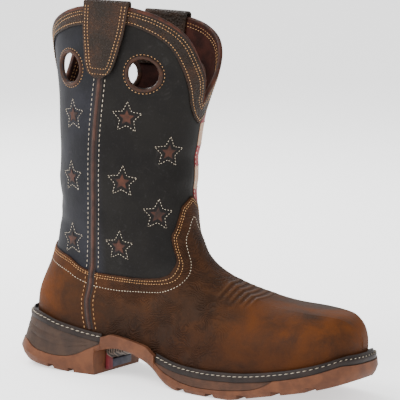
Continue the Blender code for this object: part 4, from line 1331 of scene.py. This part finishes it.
def make_binding(name, reach, height, side, finish):
    """The rolled leather ring in a pull hole, through the wall."""
    section = (
        (0.0144, -0.0008), (0.0139, 0.0002), (0.0131, 0.0006), (0.0122, 0.0003), (0.0116, -0.0006),
        (0.0114, -0.0018), (0.0117, -0.0029), (0.0126, -0.0036), (0.0140, -0.0037), (0.0152, -0.0030),
    )
    count = len(section)

    def place(across, along):
        radius, lift = section[round(across * count) % count]
        return round_hole(reach, height, side, radius, math.tau * along, lift)[0]

    bm = mapped(count, 56, place)
    finish_piece(name.replace("hole_binding", "hole_ring"), bm, finish, "binding_leather", [name])


def layer_under(reach, height):
    """Thickness of the foot leather under a point of a side seam, with a soft end at its top edge."""
    back, front = reach_of_back(height), reach_of_front(height)
    along = clamp(2 * (reach - back) / (front - back) - 1, -1, 1)
    edge = foot_edge(math.degrees(math.acos(along)))
    return FOOT_LAYER * (1 - smoothstep((height - edge) * LEATHER_HEIGHT / 0.003 - 0.5))


def seam_span(side):
    """Heights between which a side seam runs: from above the welt's bead to under the strap."""
    start = feather_height(seam_reach(0.14)) + (WELT_BEAD_HEIGHT + 2 * SOFT_GAP) / LEATHER_HEIGHT
    return start, topline(side) - (STRAP_OUTER_DROP - 0.006) / LEATHER_HEIGHT


def make_side_seam(name, side, valley, cord):
    """The rolled cord over the side seam, between its two dark valleys."""
    start, stop = seam_span(side)
    hollow = ((-1.0, -0.15), (-0.8, 0.20), (0.8, 0.20), (1.0, -0.15))
    roll = ((-1.0, 0.0), (-0.8, 0.5), (-0.4, 0.85), (0.0, 1.0), (0.4, 0.85), (0.8, 0.5), (1.0, 0.0))
    strips = (("valley", valley, 1.0, hollow), ("cord", cord, 0.42, roll))
    for kind, finish, width, profile in strips:
        last = len(profile) - 1

        def place(across, along):
            height = lerp(start, stop, along)
            share, rise = profile[round(across * last)]
            reach = seam_reach(height) + share * width * SEAM_VALLEY_HALF / FEATHER_LENGTH
            lift = layer_under(reach, height) - SHAFT_SINK + rise * SEAM_CORD_HEIGHT
            return on_side(reach, height, side, lift)[0]

        stands_for = [name] if kind == "cord" else ()
        bm = mapped(last, 110, place)
        finish_piece(name.replace("seam", kind), bm, finish, "binding_leather", stands_for)


def strap_steps():
    """Drop, lift and rise along the strap, from the tip of its outer leg to the end of its inner leg."""
    outer_steps, fold_steps, inner_steps = 26, 10, 10
    radius = (STRAP_LIFT - STRAP_INNER_LIFT) / 2 + 0.0003
    steps = []
    for i in range(outer_steps + 1):
        steps.append((STRAP_OUTER_DROP * (1 - (i / outer_steps) ** 0.8), STRAP_LIFT, 0.0))
    middle = (STRAP_LIFT + STRAP_INNER_LIFT) / 2
    for i in range(1, fold_steps):
        angle = math.pi * i / fold_steps
        steps.append((0.0, middle + radius * math.cos(angle), radius * math.sin(angle)))
    for i in range(inner_steps + 1):
        steps.append((STRAP_INNER_DROP * i / inner_steps, STRAP_INNER_LIFT, 0.0))
    return steps


def strap_half(drop, outer):
    return STRAP_WIDTH / 2 * (strap_taper(drop / STRAP_OUTER_DROP) if outer else 1.0)


def strap_point(side, drop, lift, rise, share):
    """A point of the strap, at a share of its half width, with the direction out of the leather."""
    top = topline(side) + SOFT_GAP / LEATHER_HEIGHT
    height = top - drop / LEATHER_HEIGHT
    reach = seam_reach(height) + share * strap_half(drop, lift > -0.001) / FEATHER_LENGTH
    point, out = on_side(reach, height, side, lift)
    return point + Vector((0, 0, rise)), out


def make_strap(name, side, finish):
    steps = strap_steps()
    last = len(steps) - 1

    def place(across, along):
        drop, lift, rise = steps[round(along * last)]
        return strap_point(side, drop, lift, rise, 2 * across - 1)[0]

    bm = mapped(14, last, place)
    outer = max(bm.faces, key=lambda face: side * face.calc_center_median().y)
    if outer.normal.y * side < 0:
        bmesh.ops.reverse_faces(bm, faces=bm.faces)
    piece = finish_piece(name.replace("strap", "loop"), bm, finish, "collar_leather", [name])
    walled(piece, STRAP_THICKNESS, offset=1)
    edged(piece, 0.0005)


# Stars

def star_corners(size):
    """The five points of a star and the waists between them."""
    reaches = [size.waist if i % 2 else size.radius for i in range(10)]
    return [(math.sin(math.pi * i / 5) * reach, math.cos(math.pi * i / 5) * reach)
            for i, reach in enumerate(reaches)]


def star_outline(size, steps):
    corners = star_corners(size)
    line = []
    for (x0, y0), (x1, y1) in zip(corners, corners[1:] + corners[:1]):
        line += [(lerp(x0, x1, i / steps), lerp(y0, y1, i / steps)) for i in range(steps)]
    return line + line[:1]


def on_star(star, x, y, lift):
    """A point of a star's own plane, tilted and laid on the leather, with the direction out of it."""
    turn, tilt = math.radians(star.turn), math.radians(star.tilt)
    right = x * math.cos(tilt) - y * math.sin(tilt)
    up = x * math.sin(tilt) + y * math.cos(tilt)
    place = place_of(turn, star.height / LEATHER_HEIGHT)
    return on_ring(*shifted(turn, place, right, up), lift)


def make_star(name, star, size, lift, finish):
    """A star let into the shaft: a fan of faces from its middle, cut finer and laid on the leather."""
    bm = bmesh.new()
    corners = [bm.verts.new((x, y, 0)) for x, y in star_corners(size)]
    bm.faces.new(corners)
    bmesh.ops.poke(bm, faces=bm.faces)
    bmesh.ops.subdivide_edges(bm, edges=bm.edges, cuts=2, use_grid_fill=True)
    for vertex in bm.verts:
        vertex.co = on_star(star, vertex.co.x, vertex.co.y, lift)[0]
    bmesh.ops.recalc_face_normals(bm, faces=bm.faces)
    bm.normal_update()
    out = on_leather(math.radians(star.turn), star.height, 0)[1]
    if bm.faces[:][0].normal.dot(out) < 0:
        bmesh.ops.reverse_faces(bm, faces=bm.faces)
    finish_piece(name, bm, finish, "binding_leather")


def make_stars(underlay, shadow, cream):
    stitches = Stitcher()
    for i, star in enumerate(STARS):
        # A dark star a little larger than the inlay, laid under it, is painted shadow in the inlay's recess
        make_star(f"star_painted_shadow_{i}", star, STAR_PAINTED_SHADOW, 0.00012 - SHAFT_SINK, shadow)
        make_star(f"star_inlay_{i}", star, STAR_INLAY, 0.00032 - SHAFT_SINK, underlay)
        line = [on_star(star, x, y, 0.0002 - SHAFT_SINK) for x, y in star_outline(STAR_OUTLINE, 4)]
        stitches.row(line, STAR_STITCH)
    stitches.finish("star_stitches", cream)


# Stitch rows

def stitch_edges(tan, cream):
    """Rows right round the boot: on the foot leather, the collar band and the lining."""
    turns = turns_round(200)

    def beside(edge, inset, lift, kind):
        tan.row(leather_path(beside_edge(edge, inset, turns), lift), kind)

    for inset in FOOT_ROWS:
        beside(foot_edge, inset, FOOT_LIFT + STITCH_LIFT, FOOT_STITCH)
    third = [(turn, third_row(turn_degrees(turn)) * LEATHER_HEIGHT) for turn in turns]
    cream.row(leather_path(third, FOOT_LIFT + STITCH_LIFT), THIRD_STITCH)
    for inset in COLLAR_ROWS:
        beside(top_edge, inset, BAND_LIFT + STITCH_LIFT, COLLAR_STITCH)
    beside(band_edge, BAND_ROW, BAND_LIFT + STITCH_LIFT, BAND_STITCH)
    for inset in LINING_ROWS:
        beside(top_edge, inset, LINING_LIFT - 0.0003, LINING_STITCH)


def stitch_seam(side, tan, cream):
    """A row on each side of a side seam's cord: tan on the foot leather, cream above it."""
    start, stop = seam_span(side)
    under_strap, points = 0.016, 90
    for share in (-1, 1):
        low, high = [], []
        for i in range(points + 1):
            height = lerp(start, stop - under_strap, i / points)
            reach = seam_reach(height) + share * SEAM_ROW_REACH / FEATHER_LENGTH
            under = layer_under(reach, height)
            path = low if under > 0.5 * FOOT_LAYER else high
            path.append(on_side(reach, height, side, under - SHAFT_SINK + STITCH_LIFT))
        tan.row(low, LOW_SEAM_STITCH)
        cream.row(high, SEAM_STITCH)


def strap_edge(side, inset, share):
    """A line beside one edge of the strap's outer leg, from the topline down to the tip's middle."""
    lift = STRAP_LIFT + STRAP_THICKNESS + STITCH_LIFT
    points = 40
    path = []
    for i in range(points + 1):
        drop = (STRAP_OUTER_DROP - inset * 1.5) * (i / points) ** 0.8
        half = strap_half(drop, True)
        narrowed = (half - inset) / half if half > inset else 0.0
        path.append(strap_point(side, drop, lift, 0.0, share * narrowed))
    return path


def stitch_strap_and_holes(side, hole_height, tan):
    for inset in STRAP_ROWS:
        tan.row(strap_edge(side, inset, 1) + strap_edge(side, inset, -1)[::-1], BAND_STITCH)
    for reach in (FRONT_HOLE_REACH, BACK_HOLE_REACH):
        path = [round_hole(reach, hole_height, side, RING_ROW, angle, STITCH_LIFT - SHAFT_SINK)
                for angle in turns_round(64)]
        tan.row(path, RING_STITCH)


def stitch_stripes(cream):
    """Rows along the joins of the stripes and down their front edge, in from the foot and the band."""
    lift, room = 0.0006 - SHAFT_SINK, 0.002
    turns_across = [lerp(STRIPES_STOP, STRIPES_START, i / 40) for i in range(41)]
    for height in STRIPE_SEAMS:
        inside = [turn for turn in turns_across
                  if edge_metres(foot_edge, turn) + room < height < edge_metres(band_edge, turn) - room]
        if len(inside) > 3:
            cream.row(leather_path([(turn, height) for turn in inside], lift), STRIPE_STITCH)
    low = edge_metres(foot_edge, STRIPES_START) + room / 2
    high = edge_metres(band_edge, STRIPES_START) - room / 2
    edge = [(STRIPES_START - STRIPE_EDGE_ROW, lerp(low, high, i / 60)) for i in range(61)]
    cream.row(leather_path(edge, lift), STRIPE_STITCH)


def make_leather_stitches(tan, cream):
    tan_rows, cream_rows = Stitcher(), Stitcher()
    stitch_edges(tan_rows, cream_rows)
    for name, side in SIDES.items():
        stitch_seam(side, tan_rows, cream_rows)
        stitch_strap_and_holes(side, HOLE_HEIGHTS[name], tan_rows)
    stitch_stripes(cream_rows)
    tan_rows.finish("tan_stitches", tan)
    cream_rows.finish("cream_stitches", cream)


def welt_path(share, rise):
    """A line along the welt's ledge, from its outer edge in, for heel and forefoot."""
    inset = blended(WELT_INSET, LIP_INSET, share)

    def point(station, side):
        return outline_point(inset, station, side, lambda x: ledge_height(x) + rise), Vector((0, 0, 1))

    def run(start, stop, count):
        shares = [math.sin(math.pi / 2 * i / count) for i in range(count + 1)]
        return [lerp(start, stop, share) for share in shares]

    heel = run(HEEL_END - 0.004, 0.0, 60)
    ball = run(BALL_START + 0.004, 1.0, 90)
    return [[point(station, -1) for station in stations]
            + [point(station, 1) for station in stations[-2::-1]] for stations in (heel, ball)]


def make_welt_stitches(cream):
    stitches = Stitcher()
    for path in welt_path(WELT_ROW_SHARE, 0.0002):
        stitches.row(path, WELT_STITCH, WELT_ROW_SLANT)
    stitches.finish("welt_stitches", cream, "welt_rubber")


# The sole's pieces

def spaced_stations(start, stop, count):
    """Stations between two, closer together at a rounded end of the sole."""
    heel_end, toe_end = start == 0.0, stop == 1.0
    stations = []
    for i in range(count + 1):
        share = i / count
        if heel_end and toe_end:
            share = (1 - math.cos(math.pi * share)) / 2
        elif heel_end:
            share = 1 - math.cos(math.pi * share / 2)
        elif toe_end:
            share = math.sin(math.pi * share / 2)
        stations.append(lerp(start, stop, share))
    return stations


def sole_body(levels, stations):
    """Stacked outlines, each an inset and a height by distance, closed along the middle above and below."""
    ring = [(station, -1) for station in stations] + [(station, 1) for station in stations[::-1]]
    ring.append(ring[0])
    rows = [(levels[0], 0.0), *((level, 1.0) for level in levels), (levels[-1], 0.0)]

    def place(across, along):
        station, side = ring[round(across * (len(ring) - 1))]
        (inset_here, height), spread = rows[round(along * (len(rows) - 1))]
        return outline_point(inset_here(station * OUTSOLE_LENGTH), station, side, height, spread)

    bm = mapped(len(ring) - 1, len(rows) - 1, place)
    bmesh.ops.dissolve_degenerate(bm, edges=bm.edges, dist=1e-7)
    return bm


def steady(inset):
    return lambda x: inset


def notch_cutter():
    """The cutter of the notches along the tread's edge: wider at the floor than above."""
    ball = [BALL_NOTCH_STATION + i * NOTCH_PITCH / OUTSOLE_LENGTH for i in range(BALL_NOTCHES)]
    heel = [HEEL_NOTCH_STATION + i * HEEL_NOTCH_PITCH / OUTSOLE_LENGTH for i in range(HEEL_NOTCHES)]
    bm = bmesh.new()
    for side in SIDES.values():
        for station in ball + heel:
            x = outline_x(TREAD_INSET, station)
            edge = outline_y(TREAD_INSET, x, side)
            half_length = NOTCH_LENGTH / 2 * (1.0 if station in ball else HEEL_NOTCH_SHARE)
            for vertex in bmesh.ops.create_cube(bm, size=2.0)["verts"]:
                is_top = vertex.co.z > 0
                spread = NOTCH_TOP_SHARE if is_top else NOTCH_FLOOR_SHARE
                vertex.co.x = to_frame(x) + vertex.co.x * half_length * spread
                vertex.co.y = edge + vertex.co.y * NOTCH_REACH
                vertex.co.z = tread_height(x) + NOTCH_DEPTH if is_top else -NOTCH_REACH
    return linked("notch_cutter", mesh_of("notch_cutter", bm))


def make_outsole(finish):
    """The gum sole, with its notches cut and its edges rounded."""
    def bulge_height(x):
        return lerp(tread_height(x), gum_rim(x), 0.55)

    kept = [BREAST_STATION, BREAST_TOP_STATION, HEEL_END, ARCH_START, ARCH_END, BALL_START, PANEL_END,
            TOE_START, TOE_START + STEP_STATION]
    apart = 0.0012
    stations = [station for station in spaced_stations(0.0, 1.0, 190)
                if all(abs(station - other) > apart for other in kept)]
    levels = (
        (steady(TREAD_INSET), tread_height),
        (steady(Inset(0.4 * TREAD_INSET.heel, 0.4 * TREAD_INSET.ball)),
         lambda x: lerp(tread_height(x), gum_rim(x), 0.22)),
        (steady(BULGE_INSET), bulge_height),
        (steady(GUM_RIM_INSET), gum_rim),
        (floor_inset, gum_rim),
        (floor_inset, gum_floor),
    )
    bm = sole_body(levels, sorted(stations + kept))
    piece = finish_piece("gum_outsole", bm, finish, "gum_rubber", ["outsole"])
    cutter = notch_cutter()
    cut = piece.modifiers.new("Notches", "BOOLEAN")
    cut.operation = "DIFFERENCE"
    cut.solver = "EXACT"
    cut.object = cutter
    bpy.context.view_layer.update()
    ready = piece.evaluated_get(bpy.context.evaluated_depsgraph_get())
    mesh = bpy.data.meshes.new_from_object(ready)
    piece.modifiers.clear()
    piece.data = mesh
    bpy.data.objects.remove(cutter)
    mesh.shade_smooth()
    mesh.set_sharp_from_angle(angle=math.radians(38))
    edged(piece, 0.0005)


def make_panel(name, start, stop, count, node, finish):
    """A dark panel between the gum and the welt, with the shallow grooves along its side."""
    def foot(x):
        return gum_rim(x) + GAP

    def head(x):
        return welt_underside(x) - GAP

    def groove(share, depth):
        def inset_here(x):
            deep = depth * smoothstep((head(x) - foot(x) - 0.006) / 0.004)
            return blended(PANEL_FOOT_INSET, PANEL_HEAD_INSET, share, deep)

        return inset_here, lambda x: lerp(foot(x), head(x), share)

    side = [groove(0.0, 0.0)]
    for middle in PANEL_GROOVES:
        for off, depth in ((-GROOVE_HALF, 0.0), (-GROOVE_FLOOR_HALF, GROOVE_DEPTH),
                           (GROOVE_FLOOR_HALF, GROOVE_DEPTH), (GROOVE_HALF, 0.0)):
            side.append(groove(middle + off, depth))
    side.append(groove(1.0, 0.0))
    levels = (*side, (steady(PLUG_INSET), head), (steady(PLUG_INSET), ledge_height))
    bm = sole_body(levels, spaced_stations(start, stop, count))
    edged(finish_piece(name, bm, finish, "dark_rubber", [node]), 0.0003)


def make_welt(name, start, stop, count, node, finish):
    """The welt: a strip with a stitched ledge, and a rounded bead against the leather."""
    strip = ((0.00, -WELT_THICKNESS), (0.00, -0.8 * WELT_THICKNESS), (-0.04, -0.5 * WELT_THICKNESS),
             (0.00, -0.1 * WELT_THICKNESS), (0.06, 0.0), (0.18, -0.0003), (0.34, -0.0003), (0.46, 0.0),
             (0.52, 0.35 * WELT_BEAD_HEIGHT), (0.60, 0.75 * WELT_BEAD_HEIGHT),
             (0.70, 0.97 * WELT_BEAD_HEIGHT), (0.82, WELT_BEAD_HEIGHT),
             (0.93, 0.75 * WELT_BEAD_HEIGHT), (1.00, 0.0))
    inner = Inset(PLUG_INSET.heel - GAP, PLUG_INSET.ball - GAP)
    across = [(blended(WELT_INSET, LIP_INSET, share), rise) for share, rise in strip]
    across += [(inner, 0.0), (inner, -WELT_THICKNESS)]
    across.append(across[0])
    stations = spaced_stations(start, stop, count)
    if start == 0.0:
        stations = stations[::-1]
    path = [(station, -1) for station in stations] + [(station, 1) for station in stations[-2::-1]]

    def place(over, along):
        inset, rise = across[round(over * (len(across) - 1))]
        station, side = path[round(along * (len(path) - 1))]
        return outline_point(inset, station, side, lambda x: ledge_height(x) + rise)

    bm = mapped(len(across) - 1, len(path) - 1, place)
    bmesh.ops.holes_fill(bm, edges=[edge for edge in bm.edges if edge.is_boundary], sides=0)
    bmesh.ops.recalc_face_normals(bm, faces=bm.faces)
    finish_piece(name, bm, finish, "welt_rubber", [node], smooth=50)


def carried(name, finish):
    """A CAD node's own shape, merged and shaded smooth, in its finish."""
    bm = bmesh.new()
    bm.from_mesh(frame["nodes"][name].data)
    bmesh.ops.remove_doubles(bm, verts=bm.verts, dist=1e-6)
    slots = {row["node"]: row["material_slot"] for row in frame["record"]["subparts"]}
    finish_piece(name + "_finish", bm, finish, slots[name], [name], smooth=32)


# Floor, light and camera

def make_floor():
    floor = Finish("floor", Roughness=0.9, Emission_Color=(1, 1, 1, 1), Emission_Strength=FLOOR_GLOW)
    shade = floor.noise(6, 2)
    material = floor.wear(floor.mix(shade, tone(246, 246, 246), tone(250, 250, 250)))
    bm = bmesh.new()
    bmesh.ops.create_grid(bm, x_segments=1, y_segments=1, size=4.0)
    mesh = mesh_of("floor", bm)
    mesh.materials.append(material)
    linked("floor", mesh)


def make_light(name, place, target, size, power):
    light = bpy.data.lights.new(name, "AREA")
    light.shape = "DISK"
    light.size = size
    light.energy = power
    lamp = linked(name, light)
    lamp.location = place
    lamp.rotation_euler = (Vector(place) - Vector(target)).to_track_quat("Z", "Y").to_euler()


def make_studio():
    world = bpy.data.worlds.new("studio")
    bpy.context.scene.world = world
    world.use_nodes = True
    background = world.node_tree.nodes["Background"]
    background.inputs["Color"].default_value = (1.0, 1.0, 1.0, 1.0)
    background.inputs["Strength"].default_value = WORLD_LIGHT
    middle = (0.0, 0.0, 0.13)
    make_light("key", (-0.7, -1.3, 1.5), middle, 1.4, KEY_POWER)
    make_light("fill", (1.4, -1.3, 0.7), middle, 1.2, FILL_POWER)
    make_light("rim", (-1.2, 0.7, 1.0), middle, 0.9, RIM_POWER)


def make_camera():
    angles = (CAMERA_AZIMUTH, CAMERA_ELEVATION, CAMERA_ROLL)
    azimuth, elevation, roll = (math.radians(angle) for angle in angles)
    back = Vector((math.sin(azimuth) * math.cos(elevation), -math.cos(azimuth) * math.cos(elevation),
                   math.sin(elevation)))
    right = Vector((math.cos(azimuth), math.sin(azimuth), 0.0))
    up = back.cross(right)
    turned_right = right * math.cos(roll) + up * math.sin(roll)
    turned_up = up * math.cos(roll) - right * math.sin(roll)
    data = bpy.data.cameras.new("camera")
    data.sensor_width = 36.0
    data.lens = CAMERA_FOCUS / FRAME_PIXELS * data.sensor_width
    data.clip_start, data.clip_end = 0.1, 20.0
    camera = linked("camera", data)
    basis = Matrix((turned_right, turned_up, back)).transposed().to_4x4()
    camera.matrix_world = Matrix.Translation(Vector(CAMERA_TARGET) + back * CAMERA_DISTANCE) @ basis
    bpy.context.scene.camera = camera


def build():
    make_camera()
    make_studio()
    make_floor()
    collar = collar_leather()
    small = ("ring_leather", "cord_leather", "valley_leather")
    ring, cord, valley = (red_brown_leather(name) for name in small)
    cream = thread("cream_thread")
    make_foot(oiled_leather())
    make_shaft(shaft_leather())
    make_stripes(stripe_leather())
    make_band(collar)
    make_lining(lining_leather())
    make_piping(red_brown_leather("binding_leather"))
    for name, side in SIDES.items():
        for end, reach in (("front", FRONT_HOLE_REACH), ("back", BACK_HOLE_REACH)):
            make_binding(f"hole_binding_{end}_{name}", reach, HOLE_HEIGHTS[name], side, ring)
        make_side_seam("side_seam_" + name, side, valley, cord)
        make_strap("pull_strap_" + name, side, collar)
    make_stars(red_brown_leather("inlay_leather"), red_brown_leather("inlay_shadow"), cream)
    make_leather_stitches(thread("tan_thread"), cream)
    make_welt_stitches(cream)
    make_outsole(rubber("gum", 0.58))
    heel, ball = (0.0, HEEL_END - END_GAP), (BALL_START + END_GAP, 1.0)
    make_panel("heel_panel", *heel, 90, "midsole_heel", rubber("heel_rubber", 0.6))
    front = (ball[0], PANEL_END - END_GAP)
    make_panel("forefoot_panel", *front, 80, "midsole_forefoot", rubber("panel_rubber", 0.6))
    welt = rubber("welt_strip", 0.45)
    make_welt("heel_welt", *heel, 60, "welt_heel", welt)
    make_welt("forefoot_welt", *ball, 90, "welt_forefoot", welt)
    carried("arch_plate", plate_nylon())
    carried("heel_insert_red", rubber("red_insert", 0.5))
    carried("heel_insert_navy", rubber("navy_insert", 0.5))
    carried("insole", insole_felt())


build()
